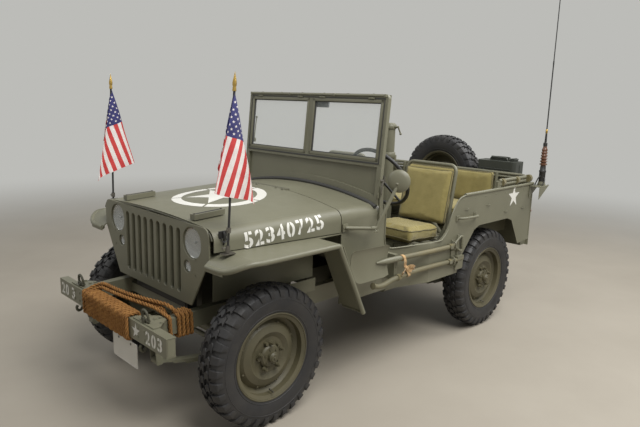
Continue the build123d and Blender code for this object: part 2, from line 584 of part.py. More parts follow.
    # Rear panel and the rolled top edge round the load space.
    block(TUB_REAR, TUB_REAR + PANEL, -TUB_HALF, TUB_HALF, TUB_BOTTOM_REAR, RAIL_TOP)
    rim_front = DOOR_REAR - 300
    for side in (-1, 1):
        bar((rim_front, side * (TUB_HALF - 4), RAIL_TOP), (TUB_REAR, side * (TUB_HALF - 4), RAIL_TOP), CAP_RADIUS)
    bar((TUB_REAR + 4, -TUB_HALF, RAIL_TOP), (TUB_REAR + 4, TUB_HALF, RAIL_TOP), CAP_RADIUS)
    # Carrier that the spare wheel is bolted to.
    bar((TUB_REAR + 1, SPARE_Y, SPARE_Z), (SPARE_DISC + SEAT_GAP, SPARE_Y, SPARE_Z), CARRIER_RADIUS)
    # Middle of the hood's hinge, with its pin.
    bar((COWL_FRONT, -HINGE_MIDDLE, HOOD_PIN_Z), (COWL_FRONT, HINGE_MIDDLE, HOOD_PIN_Z), BARREL_RADIUS)
    bar((COWL_FRONT, -HINGE_HALF, HOOD_PIN_Z), (COWL_FRONT, HINGE_HALF, HOOD_PIN_Z), HOOD_PIN)
    block(COWL_LIP - 2, COWL_FRONT - 2, -HINGE_MIDDLE, HINGE_MIDDLE, HOOD_PIN_Z - 3, HOOD_PIN_Z + 3)
    # Windshield hinge brackets on the cowl's corners.
    for side in (-1, 1):
        near = side * BRACKET_Y
        far = side * (BRACKET_Y + 8)
        block(WS_HINGE_X - 14, WS_HINGE_X + 14, min(near, far), max(near, far), 940, WS_HINGE_Z + 14)
        foot = side * (COWL_HALF - 1)
        block(WS_HINGE_X - 14, WS_HINGE_X + 14, min(foot, far), max(foot, far), 930, 964)
        bar((WS_HINGE_X, near - side, WS_HINGE_Z), (WS_HINGE_X, far + side, WS_HINGE_Z), HINGE_PIN + SEAT_GAP,
            mode=Mode.SUBTRACT)
    # Front bracket that the shovel and the axe are strapped to.
    block(AXLE_F - 925, AXLE_F - 895, COWL_HALF - 2, TUB_HALF, 575, 730)
    bar(COLUMN_LOW, COLUMN_HIGH, COLUMN_RADIUS + SEAT_GAP, mode=Mode.SUBTRACT)
finish(body_tub, "body_tub")

# Grille: flat stamped panel with nine tall slots and round lamp holes.
with BuildPart() as grille:
    with BuildSketch(Plane.YZ.offset(GRILLE_X - GRILLE_SHEET)):
        with BuildLine():
            Polyline((-GRILLE_HALF, FENDER_TOP - 30), (-GRILLE_HALF, GRILLE_TOP - 48))
            ThreePointArc((-GRILLE_HALF, GRILLE_TOP - 48), (-GRILLE_HALF + 16, GRILLE_TOP - 12),
                          (-GRILLE_HALF + 56, GRILLE_TOP))
            Line((-GRILLE_HALF + 56, GRILLE_TOP), (GRILLE_HALF - 56, GRILLE_TOP))
            ThreePointArc((GRILLE_HALF - 56, GRILLE_TOP), (GRILLE_HALF - 16, GRILLE_TOP - 12),
                          (GRILLE_HALF, GRILLE_TOP - 48))
            Polyline((GRILLE_HALF, GRILLE_TOP - 48), (GRILLE_HALF, FENDER_TOP - 30), (370, GRILLE_BOTTOM),
                     (-370, GRILLE_BOTTOM), (-GRILLE_HALF, FENDER_TOP - 30))
        make_face()
        with GridLocations(SLOT_PITCH, 1, SLOT_COUNT, 1):
            with Locations((0, (SLOT_TOP + SLOT_BOTTOM) / 2)):
                SlotOverall(SLOT_TOP - SLOT_BOTTOM, SLOT_WIDTH, rotation=90, mode=Mode.SUBTRACT)
        with Locations((-LAMP_Y, LAMP_Z), (LAMP_Y, LAMP_Z)):
            Circle(LAMP_HOLE, mode=Mode.SUBTRACT)
        with Locations((-BLACKOUT_Y, BLACKOUT_Z), (BLACKOUT_Y, BLACKOUT_Z)):
            Circle(BLACKOUT_HOLE, mode=Mode.SUBTRACT)
    extrude(amount=GRILLE_SHEET)
finish(grille, "grille")

# Lamps: bowls set back behind the grille's round holes.
LAMP_FRONT = GRILLE_X - GRILLE_SHEET - SEAT_GAP
LENS_DEPTH = 8.0
# Lamp: middle Y, middle Z, radius of its grille hole, depth
LAMPS = [(LAMP_Y, LAMP_Z, LAMP_HOLE, 90.0), (BLACKOUT_Y, BLACKOUT_Z, BLACKOUT_HOLE, 60.0)]
with BuildPart() as lamps:
    for side in (-1, 1):
        for y, z, radius, depth in LAMPS:
            bar((LAMP_FRONT - depth, side * y, z), (LAMP_FRONT, side * y, z), radius + 3)
            bar((LAMP_FRONT - 14, side * y, z), (LAMP_FRONT + 1, side * y, z), radius - 3, mode=Mode.SUBTRACT)
finish(lamps, "lamps")
with BuildPart() as lamp_lenses:
    for side in (-1, 1):
        for y, z, radius, depth in LAMPS:
            bar((LAMP_FRONT - 14 + SEAT_GAP, side * y, z), (LAMP_FRONT - 14 + LENS_DEPTH, side * y, z), radius - 3.5)
finish(lamp_lenses, "lamp_lenses")

# Radiator close behind the grille and the engine as one block behind it.
with BuildPart() as radiator:
    block(GRILLE_X - 100, GRILLE_X - 45, -262, 262, 540 + SEAT_GAP, 965)
finish(radiator, "radiator")
with BuildPart() as engine_block:
    block(AXLE_F - 560, AXLE_F + 80, ENGINE_Y - ENGINE_HALF, ENGINE_Y + ENGINE_HALF, 490, 930)
finish(engine_block, "engine_block")
with BuildPart() as gearbox:
    block(AXLE_F - 740, AXLE_F - 560 - SEAT_GAP, -66, 134, 490, 650)
    block(AXLE_F - 880, AXLE_F - 740, -66, 134, 430, 535)
    block(AXLE_F - 1120, AXLE_F - 880, -180, 134, 424 + SEAT_GAP, 535)
finish(gearbox, "gearbox")
with BuildPart() as driveshafts:
    bar((AXLE_F - 191.4, DIFF_Y, WHEEL_Z + 17), (AXLE_F - 876.6, DIFF_Y, 460), 24)
    bar((AXLE_R + 191.4, DIFF_Y, WHEEL_Z + 17), (AXLE_F - 1123.3, DIFF_Y, 460), 24)
finish(driveshafts, "driveshafts")
with BuildPart() as exhaust:
    bent_bar([(AXLE_F - 280, ENGINE_Y - ENGINE_HALF - SEAT_GAP, 600), (AXLE_F - 280, -185, 600),
              (AXLE_F - 340, -225, 470), (AXLE_F - 560, -270, 388),
              (AXLE_F - 960, -440, 388), (AXLE_F - 1100, -440, 388)], 40, 19)
    bar((AXLE_F - 1060, -440, 400), (AXLE_F - 1400, -440, 400), 52)
    bar((AXLE_F - 1390, -440, 400), (AXLE_F - 1530, -600, 400), 19)
finish(exhaust, "exhaust")

# Hood: crowned shell that widens from the grille to the cowl.
HOOD_FRONT = GRILLE_X - GRILLE_SHEET - HOOD_GAP
HOOD_REAR = COWL_FRONT
with BuildPart() as hood:
    for inset, mode in ((0, Mode.ADD), (HOOD_SHEET, Mode.SUBTRACT)):
        bottom = HOOD_SIDE_Z - 4 * inset
        rear = hood_section(HOOD_REAR - inset / 5, COWL_HALF - inset, HOOD_REAR_Z - inset,
                            HOOD_REAR_CROWN - inset, bottom, HOOD_CORNER - inset)
        front = hood_section(HOOD_FRONT + inset / 5, HOOD_FRONT_HALF - inset, HOOD_FRONT_Z - inset,
                             HOOD_FRONT_CROWN - inset, bottom, HOOD_CORNER - inset)
        loft([rear, front], mode=mode)
    # Outer barrels of the hinge, bored for the pin, and room for the middle one.
    for side in (-1, 1):
        bar((HOOD_REAR, side * (HINGE_MIDDLE + 1), HOOD_PIN_Z), (HOOD_REAR, side * HINGE_HALF, HOOD_PIN_Z), BARREL_RADIUS)
    block(HOOD_REAR - 1, HOOD_REAR + BARREL_RADIUS + 1, -HINGE_MIDDLE - 1, HINGE_MIDDLE + 1,
          HOOD_PIN_Z - 20, HOOD_PIN_Z + 20, mode=Mode.SUBTRACT)
    bar((HOOD_REAR, -HINGE_HALF - 9, HOOD_PIN_Z), (HOOD_REAR, HINGE_HALF + 9, HOOD_PIN_Z), HOOD_PIN + SEAT_GAP,
        mode=Mode.SUBTRACT)
finish(hood, "hood")

# Wooden rest blocks that carry the folded windshield, lengthwise on the hood.
BLOCK_X = AXLE_F + 143
BLOCK_Y = 340.0
BLOCK_HALF = 88.0
BLOCK_WIDE = 20.0


def hood_top(x, y):
    share = (HOOD_FRONT - x) / (HOOD_FRONT - HOOD_REAR)
    corner = HOOD_FRONT_Z + share * (HOOD_REAR_Z - HOOD_FRONT_Z)
    crown = HOOD_FRONT_CROWN + share * (HOOD_REAR_CROWN - HOOD_FRONT_CROWN)
    half = HOOD_FRONT_HALF + share * (COWL_HALF - HOOD_FRONT_HALF) - HOOD_CORNER
    radius = (half ** 2 + (crown - corner) ** 2) / (2 * (crown - corner))
    return crown - radius + math.sqrt(radius ** 2 - y ** 2)


with BuildPart() as hood_blocks:
    for side in (-1, 1):
        near, far = sorted((side * (BLOCK_Y - BLOCK_WIDE), side * (BLOCK_Y + BLOCK_WIDE)))
        ends = [(x, hood_top(x, BLOCK_Y - BLOCK_WIDE)) for x in (BLOCK_X - BLOCK_HALF, BLOCK_X + BLOCK_HALF)]
        side_plate([(x, top + 3) for x, top in ends] + [(x, top + 29) for x, top in reversed(ends)], near, far)
        for foot in (-70, 70):
            x = BLOCK_X + foot
            top = hood_top(x - 8, BLOCK_Y - BLOCK_WIDE + 4)
            block(x - 8, x + 8, near + 4, far - 4, top + SEAT_GAP, top + 6)
finish(hood_blocks, "hood_blocks")

# Front fenders: flat top with a rounded nose, a drop plate behind the wheel and an inner apron.
FENDER_NOSE = AXLE_F + 292
FENDER_REAR = AXLE_F - 350
DROP_FOOT_X = AXLE_F - 558
DROP_FOOT_Z = 480.0
LAMP_BACK = LAMP_FRONT - 96.0
LAMP_CLEAR_Y = LAMP_Y + LAMP_HOLE + 6.0
# Rounded outer corner of the fender's plan
NOSE_CORNER = 190.0
nose_corner = []
for step in range(1, 9):
    turn = math.radians(90 * step / 8)
    nose_corner.append((FENDER_NOSE - NOSE_CORNER * (1 - math.cos(turn) ** 0.75 if step < 8 else 1),
                        FENDER_OUTER - NOSE_CORNER * (1 - math.sin(turn) ** 0.75)))
for place, side in (("left", 1), ("right", -1)):
    with BuildPart() as fender:
        with BuildSketch(Plane.XZ.offset(-900)):
            with BuildLine():
                Polyline((FENDER_NOSE, 818), (FENDER_NOSE, 834))
                ThreePointArc((FENDER_NOSE, 834), (FENDER_NOSE - 42, 868), (FENDER_NOSE - 110, FENDER_TOP))
                Line((FENDER_NOSE - 110, FENDER_TOP), (FENDER_REAR, FENDER_TOP))
                Polyline((FENDER_REAR, FENDER_TOP), (FENDER_REAR - 18, FENDER_TOP - 12), (DROP_FOOT_X, DROP_FOOT_Z),
                         (DROP_FOOT_X + 6, DROP_FOOT_Z), (FENDER_REAR - 12, FENDER_TOP - 14),
                         (FENDER_REAR + 2, FENDER_TOP - FENDER_SHEET),
                         (FENDER_NOSE - 112, FENDER_TOP - FENDER_SHEET))
                ThreePointArc((FENDER_NOSE - 112, FENDER_TOP - FENDER_SHEET), (FENDER_NOSE - 46, 863),
                              (FENDER_NOSE - FENDER_SHEET, 831))
                Polyline((FENDER_NOSE - FENDER_SHEET, 831), (FENDER_NOSE - FENDER_SHEET, 818), (FENDER_NOSE, 818))
            make_face()
        extrude(amount=1800)
        plan = [(LAMP_BACK, APRON_Y), (LAMP_BACK, LAMP_CLEAR_Y), (GRILLE_X - 10, LAMP_CLEAR_Y),
                (GRILLE_X - 10, GRILLE_HALF + SEAT_GAP), (FENDER_NOSE, GRILLE_HALF + SEAT_GAP),
                (FENDER_NOSE, FENDER_OUTER - NOSE_CORNER), *nose_corner, (DROP_FOOT_X - 5, FENDER_OUTER), (DROP_FOOT_X - 5, COWL_HALF + SEAT_GAP),
                (FENDER_REAR - 5, COWL_HALF + SEAT_GAP), (FENDER_REAR - 5, APRON_Y)]
        flat_plate([(x, side * y) for x, y in plan], 300, 1200, mode=Mode.INTERSECT)
        near = side * APRON_Y
        far = side * (APRON_Y + FENDER_SHEET)
        block(COWL_LIP + SEAT_GAP, LAMP_BACK, min(near, far), max(near, far), 600, FENDER_TOP)
        far = side * (COWL_HALF - SEAT_GAP)
        block(COWL_LIP + SEAT_GAP, FENDER_REAR, min(near, far), max(near, far), FENDER_TOP - FENDER_SHEET, FENDER_TOP)
    finish(fender, f"fender_{place}")

# Windshield: tubular outer frame with a lower sheet panel and two panes, hinged at the cowl.
# The windshield's own plane: X along the car's left, Y up along the frame, origin at the hinge.
WS_PLANE = Plane(origin=(WS_HINGE_X, 0, WS_HINGE_Z), x_dir=(0, 1, 0),
                 z_dir=(math.cos(math.radians(WS_LEAN)), 0, math.sin(math.radians(WS_LEAN))))
WS_COS = math.cos(math.radians(WS_LEAN))
FRAME_TOP = (WS_TOP - WS_HINGE_Z) / WS_COS
PANE_LOW = (WS_GLASS_LOW - WS_HINGE_Z) / WS_COS
PANE_BAR = 32.0
WS_SILL_SIDE = 1014.0
WS_SILL_BEND = 1036.0
WS_SILL_MID = 1096.0
BEND_Y = COWL_HALF - HOOD_CORNER
SILL_SIDE = (WS_SILL_SIDE - WS_HINGE_Z) / WS_COS
SILL_BEND = (WS_SILL_BEND - WS_HINGE_Z) / WS_COS
SILL_MID = (WS_SILL_MID - WS_HINGE_Z) / WS_COS
PANE_HEIGHT = FRAME_TOP - PANE_BAR - PANE_LOW
PANE_WIDTH = WS_HALF - 1.5 * PANE_BAR
PANE_MID = PANE_LOW + PANE_HEIGHT / 2
PANE_Y = (PANE_WIDTH + PANE_BAR) / 2
SHEET_DEPTH = 18.0
with BuildPart() as windshield_frame:
    with BuildSketch(WS_PLANE.offset(-WS_TUBE / 2)):
        with BuildLine():
            corner = 26.0
            Polyline((-WS_HALF, SILL_SIDE), (-WS_HALF, FRAME_TOP - corner))
            ThreePointArc((-WS_HALF, FRAME_TOP - corner), (-WS_HALF + 8, FRAME_TOP - 8),
                          (-WS_HALF + corner, FRAME_TOP))
            Line((-WS_HALF + corner, FRAME_TOP), (WS_HALF - corner, FRAME_TOP))
            ThreePointArc((WS_HALF - corner, FRAME_TOP), (WS_HALF - 8, FRAME_TOP - 8), (WS_HALF, FRAME_TOP - corner))
            Polyline((WS_HALF, FRAME_TOP - corner), (WS_HALF, SILL_SIDE), (BEND_Y, SILL_BEND))
            ThreePointArc((BEND_Y, SILL_BEND), (0, SILL_MID), (-BEND_Y, SILL_BEND))
            Line((-BEND_Y, SILL_BEND), (-WS_HALF, SILL_SIDE))
        make_face()
        with Locations((-PANE_Y, PANE_MID), (PANE_Y, PANE_MID)):
            Rectangle(PANE_WIDTH, PANE_HEIGHT, mode=Mode.SUBTRACT)
    extrude(amount=WS_TUBE)
    with BuildSketch(WS_PLANE.offset(WS_TUBE / 2 - SHEET_DEPTH)):
        with BuildLine():
            inner = WS_HALF - PANE_BAR
            Polyline((-inner, SILL_BEND + 30), (-inner, PANE_LOW - PANE_BAR), (inner, PANE_LOW - PANE_BAR),
                     (inner, SILL_BEND + 30))
            ThreePointArc((inner, SILL_BEND + 30), (0, SILL_MID + 34), (-inner, SILL_BEND + 30))
        make_face()
    extrude(amount=40, mode=Mode.SUBTRACT)
    for side in (-1, 1):
        bar((WS_HINGE_X, side * (WS_HALF - 2), WS_HINGE_Z), (WS_HINGE_X, side * (BRACKET_Y + 8), WS_HINGE_Z), HINGE_PIN)
finish(windshield_frame, "windshield_frame")
with BuildPart() as windshield_glass:
    with BuildSketch(WS_PLANE.offset(-3)):
        with Locations((-PANE_Y, PANE_MID), (PANE_Y, PANE_MID)):
            Rectangle(PANE_WIDTH - 2 * SEAT_GAP, PANE_HEIGHT - 2 * SEAT_GAP)
    extrude(amount=6)
finish(windshield_glass, "windshield_glass")

# Steering column and wheel.
column_dir = (Vector(*COLUMN_HIGH) - Vector(*COLUMN_LOW)).normalized()
WHEEL_RIM_RADIUS = 214.0
with BuildPart() as steering_column:
    bar(COLUMN_LOW, COLUMN_HIGH, COLUMN_RADIUS)
    block(AXLE_F - 370, AXLE_F - 280, 258, RAIL_IN - SEAT_GAP, 500, 650)
finish(steering_column, "steering_column")
with BuildPart() as steering_wheel:
    wheel_plane = Plane(origin=Vector(*COLUMN_HIGH) + column_dir * 13.3, z_dir=column_dir)
    with Locations(wheel_plane):
        Torus(WHEEL_RIM_RADIUS, 12)
        Cylinder(30, 26)
    for index in range(3):
        with BuildSketch(wheel_plane):
            with PolarLocations(WHEEL_RIM_RADIUS / 2 + 8, 1, start_angle=90 + index * 120):
                Rectangle(WHEEL_RIM_RADIUS - 24, 16)
        extrude(amount=4, both=True)
finish(steering_wheel, "steering_wheel")

# Seats: two front seats and a rear bench, tube frames and cushions.
# Seat: name, front X of cushion, back X, middle Y, half width, cushion Z, back top Z
SEATS = [
    ("driver", AXLE_F - 1190, AXLE_F - 1600, 402, 212, 800, 1145),
    ("passenger", AXLE_F - 1190, AXLE_F - 1600, -402, 212, 800, 1145),
]
SEAT_TUBE = 12.0
with BuildPart() as seat_frames:
    for name, x_front, x_back, y_mid, half, z_seat, z_top in SEATS:
        foot_z = FLOOR_Z + PANEL + SEAT_GAP
        near = y_mid - half + SEAT_TUBE
        far = y_mid + half - SEAT_TUBE
        seat_z = z_seat - 112
        top_z = z_top + SEAT_TUBE + 36
        bent_bar([(x_front - 10, near, foot_z), (x_front - 10, near, seat_z + 20), (x_back + 20, near, seat_z),
                  (x_back - 66, near, top_z), (x_back - 66, far, top_z), (x_back + 20, far, seat_z),
                  (x_front - 10, far, seat_z + 20), (x_front - 10, far, foot_z)], 50, SEAT_TUBE)
        for y in (near, far):
            bar((x_back + 60, y, foot_z), (x_back + 60, y, seat_z + 2), SEAT_TUBE - 1)
        bar((x_back + 60, near, seat_z + 2), (x_back + 60, far, seat_z + 2), SEAT_TUBE - 1)
        bar((x_front - 40, near, seat_z + 16), (x_front - 40, far, seat_z + 16), SEAT_TUBE - 1)
    for side in (-1, 1):
        y = side * 452
        bent_bar([(TUB_REAR + 540, y, REAR_FLOOR_Z + PANEL + SEAT_GAP), (TUB_REAR + 540, y, 790),
                  (TUB_REAR + 120, y, 790), (TUB_REAR + 112, y, 1080)], 40, SEAT_TUBE - 0.5)
        bar((TUB_REAR + 130, y, REAR_FLOOR_Z + PANEL + SEAT_GAP), (TUB_REAR + 130, y, 800), SEAT_TUBE - 1)
finish(seat_frames, "seat_frames")
with BuildPart() as seat_cushions:
    for name, x_front, x_back, y_mid, half, z_seat, z_top in SEATS:
        cushion = half - 2 * SEAT_TUBE - SEAT_GAP
        side_plate([(x_front, z_seat - 78), (x_front, z_seat), (x_back + 60, z_seat - 20), (x_back + 60, z_seat - 96)],
                   y_mid - cushion, y_mid + cushion)
        side_plate([(x_back + 40, z_seat - 10), (x_back - 36, z_top), (x_back - 78, z_top), (x_back - 2, z_seat - 10)],
                   y_mid - cushion, y_mid + cushion)
    block(TUB_REAR + 150, TUB_REAR + 560, -440, 440, 770, 830)
    block(TUB_REAR + 82, TUB_REAR + 146, -440, 440, 800, 1085)
finish(seat_cushions, "seat_cushions")

# Pedestal post with its empty socket, braced to the floor.
POST_X = AXLE_R + 342
POST_TOP = 1440.0
SOCKET_RADIUS = 17.0
with BuildPart() as pedestal:
    block(POST_X - 90, POST_X + 70, -90, 90, REAR_FLOOR_Z + PANEL + 0.3, REAR_FLOOR_Z + PANEL + 10)
    bar((POST_X, 0, REAR_FLOOR_Z + PANEL + 8), (POST_X, 0, POST_TOP), 38)
    for side in (-1, 1):
        bar((POST_X - 320, side * 280, REAR_FLOOR_Z + PANEL + 14), (POST_X, 0, POST_TOP - 240), 16)
    bar((POST_X, 0, POST_TOP - 160), (POST_X, 0, POST_TOP + 1), SOCKET_RADIUS, mode=Mode.SUBTRACT)
finish(pedestal, "pedestal")

# Antenna on a shelf at the rear left corner.
ANT_X = TUB_REAR - 40
ANT_Y = TUB_HALF + 44
ANT_Z = 1000.0
ANT_TOP = 3050.0
with BuildPart() as antenna:
    block(ANT_X - 50, ANT_X + 110, TUB_HALF + SEAT_GAP, ANT_Y + 40, ANT_Z - 6, ANT_Z)
    side_plate([(ANT_X - 40, ANT_Z - 6), (ANT_X + 110, ANT_Z - 6), (ANT_X + 110, ANT_Z - 100)],
               TUB_HALF + SEAT_GAP, TUB_HALF + 6)
    bar((ANT_X, ANT_Y, ANT_Z), (ANT_X, ANT_Y, ANT_Z + 330), 30)
    bar((ANT_X, ANT_Y, ANT_Z + 330), (ANT_X, ANT_Y, ANT_TOP), 5)
finish(antenna, "antenna")

# Fuel can in its bracket on the left of the rear panel.
CAN_Y = 362.0
CAN_X = TUB_REAR - 100
with BuildPart() as jerrycan:
    with BuildSketch(Plane.XY.offset(724)):
        with Locations((CAN_X, CAN_Y)):
            RectangleRounded(164, 340, 30)
    extrude(amount=430)
    block(CAN_X - 10, CAN_X + 10, CAN_Y - 80, CAN_Y + 80, 1153, 1186)
finish(jerrycan, "jerrycan")
with BuildPart() as jerrycan_holder:
    block(CAN_X - 86, TUB_REAR - SEAT_GAP, CAN_Y - 176, CAN_Y + 176, 718, 723.6)
    block(TUB_REAR - 8, TUB_REAR - SEAT_GAP, CAN_Y - 176, CAN_Y + 176, 723, 900)
    for side in (-1, 1):
        y = CAN_Y + side * 174
        block(CAN_X - 86, TUB_REAR - 4, y - 2, y + 2, 720, 860)
finish(jerrycan_holder, "jerrycan_holder")

# Top bows folded down round the back of the load space.
with BuildPart() as top_bows:
    for level, inset in ((1042, 18), (1068, 18)):
        y = TUB_HALF - inset
        bent_bar([(AXLE_R - 60, -y, level), (TUB_REAR + 30, -y, level), (TUB_REAR + 30, y, level),
                  (AXLE_R - 60, y, level)], 110, 12)
    for side in (-1, 1):
        y = side * (TUB_HALF - 18)
        block(AXLE_R - 80, AXLE_R - 30, y - 10, y + 10, RAIL_TOP + CAP_RADIUS + 0.2, 1068)
finish(top_bows, "top_bows")

# Shovel and axe on the left side.
HANDLE_RADIUS = 16.0
TOOL_Y = TUB_HALF + HANDLE_RADIUS + SEAT_GAP
with BuildPart() as pioneer_tools:
    bar((AXLE_F - 760, TOOL_Y, 712), (AXLE_F - 1600, TOOL_Y, 692), HANDLE_RADIUS)
    with BuildSketch(Plane.XZ.offset(-(TOOL_Y - 12))):
        with BuildLine():
            Polyline((AXLE_F - 800, 632), (AXLE_F - 808, 700), (AXLE_F - 800, 806), (AXLE_F - 790, 812),
                     (AXLE_F - 512, 822), (AXLE_F - 502, 812), (AXLE_F - 502, 690), (AXLE_F - 530, 648),
                     (AXLE_F - 600, 626), (AXLE_F - 780, 622), close=True)
        make_face()
    extrude(amount=4)
    bar((AXLE_F - 680, TOOL_Y, 596), (AXLE_F - 1590, TOOL_Y, 560), HANDLE_RADIUS)
    side_plate([(AXLE_F - 1530, 620), (AXLE_F - 1600, 620), (AXLE_F - 1620, 520), (AXLE_F - 1510, 520)],
               TOOL_Y - 12, TOOL_Y + 12)
finish(pioneer_tools, "pioneer_tools")

# Mirror on its arm at the left of the cowl.
MIRROR_BASE = (AXLE_F - 548, COWL_HALF, 923)
MIRROR_ELBOW = (AXLE_F - 741, COWL_HALF + 62, 903)
MIRROR_HEAD = (AXLE_F - 858, COWL_HALF + 124, 1168)
MIRROR_RADIUS = 60.0
with BuildPart() as mirror:
    x, y, z = MIRROR_BASE
    block(x - 20, x + 18, y + SEAT_GAP, y + 12, z - 20, z + 20)
    bent_bar([(x, y + 12, z), MIRROR_ELBOW, MIRROR_HEAD], 24, 9)
    with Locations(MIRROR_HEAD):
        Cylinder(MIRROR_RADIUS, 18, rotation=(0, 90, 0))
finish(mirror, "mirror")

# Flag poles clamped to the front fenders, each with its flag.
POLE_X = AXLE_F + 168.0
POLE_Y = 594.0
POLE_TOP = 1712.0
POLE_RADIUS = 7.0
# How far the foot of each pole stands ahead of its top: a slight lean
POLE_LEAN = {"left": 40.0, "right": 14.0}


# Point on a pole's middle line.
def on_pole(place, side, z):
    share = (POLE_TOP - z) / (POLE_TOP - FENDER_TOP)
    return (POLE_X + share * POLE_LEAN[place], side * POLE_Y, z)


with BuildPart() as flag_poles:
    for place, side in (("left", 1), ("right", -1)):
        bar(on_pole(place, side, FENDER_TOP + 4), on_pole(place, side, POLE_TOP), POLE_RADIUS)
        x, y, z = on_pole(place, side, FENDER_TOP + SEAT_GAP)
        bar((x, y, z), (x, y, FENDER_TOP + 16), 22)
finish(flag_poles, "flag_poles")
# Flag outline beside the pole: distance behind it, height
FLAGS = {
    "left": [(0, 1640), (36, 1560), (56, 1440), (118, 1150), (28, 1185), (-98, 1240), (-31, 1440)],
    "right": [(0, 1640), (42, 1560), (84, 1380), (140, 1187), (28, 1110), (-59, 1057), (-20, 1380)],
}
FLAG_THICK = 30.0
for place, side in (("left", 1), ("right", -1)):
    drape = Plane(origin=(POLE_X, side * POLE_Y, 0), x_dir=(-1, 0, 0), z_dir=(0, 1, 0))
    with BuildPart() as flag:
        with BuildSketch(drape.offset(-FLAG_THICK / 2)):
            with BuildLine():
                Polyline(*FLAGS[place], close=True)
            make_face()
        extrude(amount=FLAG_THICK)
        bar(on_pole(place, side, 1000), on_pole(place, side, 1650), POLE_RADIUS + SEAT_GAP, mode=Mode.SUBTRACT)
    finish(flag, f"flag_{place}")

# Tow rope: wound round the bumper, led over it and taken round the left frame horn.
ROPE = 22.0
WRAP_HALF = 250.0
HORN_TURNS = 4
HORN_TURNS_FRONT = AXLE_F + 404.0
HORN_TOP = 566.0
HORN_BOTTOM = 478.0
ROPE_RUN = [
    (AXLE_F + 430, -200), (AXLE_F + 478, -200), (AXLE_F + 478, 0), (AXLE_F + 440, 230), (AXLE_F + 404, 340),
    (AXLE_F + 404, 395), (AXLE_F + 372, 395), (AXLE_F + 372, 330), (AXLE_F + 410, 210), (AXLE_F + 430, 0),
]
with BuildPart() as rope_wrap:
    near = SEAT_GAP
    far = SEAT_GAP + ROPE
    block(BUMPER_BACK - far, BUMPER_FACE + far, -WRAP_HALF, WRAP_HALF, BUMPER_BOTTOM - far, BUMPER_TOP + far)
    block(BUMPER_BACK - near, BUMPER_FACE + near, -WRAP_HALF - 1, WRAP_HALF + 1,
          BUMPER_BOTTOM - near, BUMPER_TOP + near, mode=Mode.SUBTRACT)
finish(rope_wrap, "rope_wrap")
with BuildPart() as rope_turns:
    back = HORN_TURNS_FRONT - HORN_TURNS * ROPE
    block(back, HORN_TURNS_FRONT, RAIL_IN - far, RAIL_OUT + far, HORN_BOTTOM - ROPE, HORN_TOP + ROPE)
    block(back - 1, HORN_TURNS_FRONT + 1, RAIL_IN - near, RAIL_OUT + near, HORN_BOTTOM, HORN_TOP, mode=Mode.SUBTRACT)
finish(rope_turns, "rope_turns")
with BuildPart() as rope_run:
    run_z = HORN_TOP + ROPE + SEAT_GAP
    flat_plate(ROPE_RUN, run_z, run_z + 2 * ROPE)
finish(rope_run, "rope_run")

# Blank number plate under the bumper, and the rear lamps.
PLATE_TOP = BUMPER_BOTTOM - SEAT_GAP - ROPE - SEAT_GAP
with BuildPart() as plates:
    block(BUMPER_FACE - 2, BUMPER_FACE + 1, 70, 310, PLATE_TOP - 120, PLATE_TOP)
finish(plates, "plates")
with BuildPart() as tail_lamps:
    for side in (-1, 1):
        bar((TUB_REAR - SEAT_GAP, side * 640, 900), (TUB_REAR - 46, side * 640, 900), 34)
finish(tail_lamps, "tail_lamps")
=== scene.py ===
# Army 4x4 car: the looks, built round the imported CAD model.
# Frame: metres, +X forward, +Y the car's left, +Z up, origin on the ground under its middle.
import math

import bmesh
import bpy
from mathutils import Matrix, Vector, noise
from mathutils.bvhtree import BVHTree


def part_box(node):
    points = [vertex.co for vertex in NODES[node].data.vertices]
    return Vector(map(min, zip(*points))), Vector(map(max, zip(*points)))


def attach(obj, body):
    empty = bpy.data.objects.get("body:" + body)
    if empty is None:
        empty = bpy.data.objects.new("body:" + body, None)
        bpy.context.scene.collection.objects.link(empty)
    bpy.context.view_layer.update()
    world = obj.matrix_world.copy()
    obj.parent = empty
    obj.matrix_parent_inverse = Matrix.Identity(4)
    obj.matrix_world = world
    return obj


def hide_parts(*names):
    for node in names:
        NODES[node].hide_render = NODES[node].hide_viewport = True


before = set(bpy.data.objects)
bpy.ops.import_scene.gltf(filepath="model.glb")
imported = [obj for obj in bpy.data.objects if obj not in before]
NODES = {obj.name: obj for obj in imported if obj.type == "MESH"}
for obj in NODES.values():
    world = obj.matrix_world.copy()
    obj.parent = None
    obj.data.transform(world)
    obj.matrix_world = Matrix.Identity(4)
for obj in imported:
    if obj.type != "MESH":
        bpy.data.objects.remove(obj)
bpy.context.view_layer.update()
SCENE = bpy.context.scene


def node_middle(name):
    low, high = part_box(name)
    return (low + high) / 2


# Places taken from the frame
WHEEL_MIDDLE = node_middle("tyre_front_left")
AXLE_F = WHEEL_MIDDLE.x
AXLE_R = node_middle("tyre_rear_left").x
TYRE_RADIUS = WHEEL_MIDDLE.z
BUMPER_LOW, BUMPER_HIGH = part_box("front_bumper")
BUMPER_DEPTH = 0.046
BUMPER_FACE = BUMPER_HIGH.x
BUMPER_BOTTOM = BUMPER_LOW.z
BUMPER_TOP = BUMPER_BOTTOM + 0.093


def srgb(*values):
    return tuple(((v / 255 + 0.055) / 1.055) ** 2.4 if v > 10 else v / 255 / 12.92 for v in values) + (1.0,)


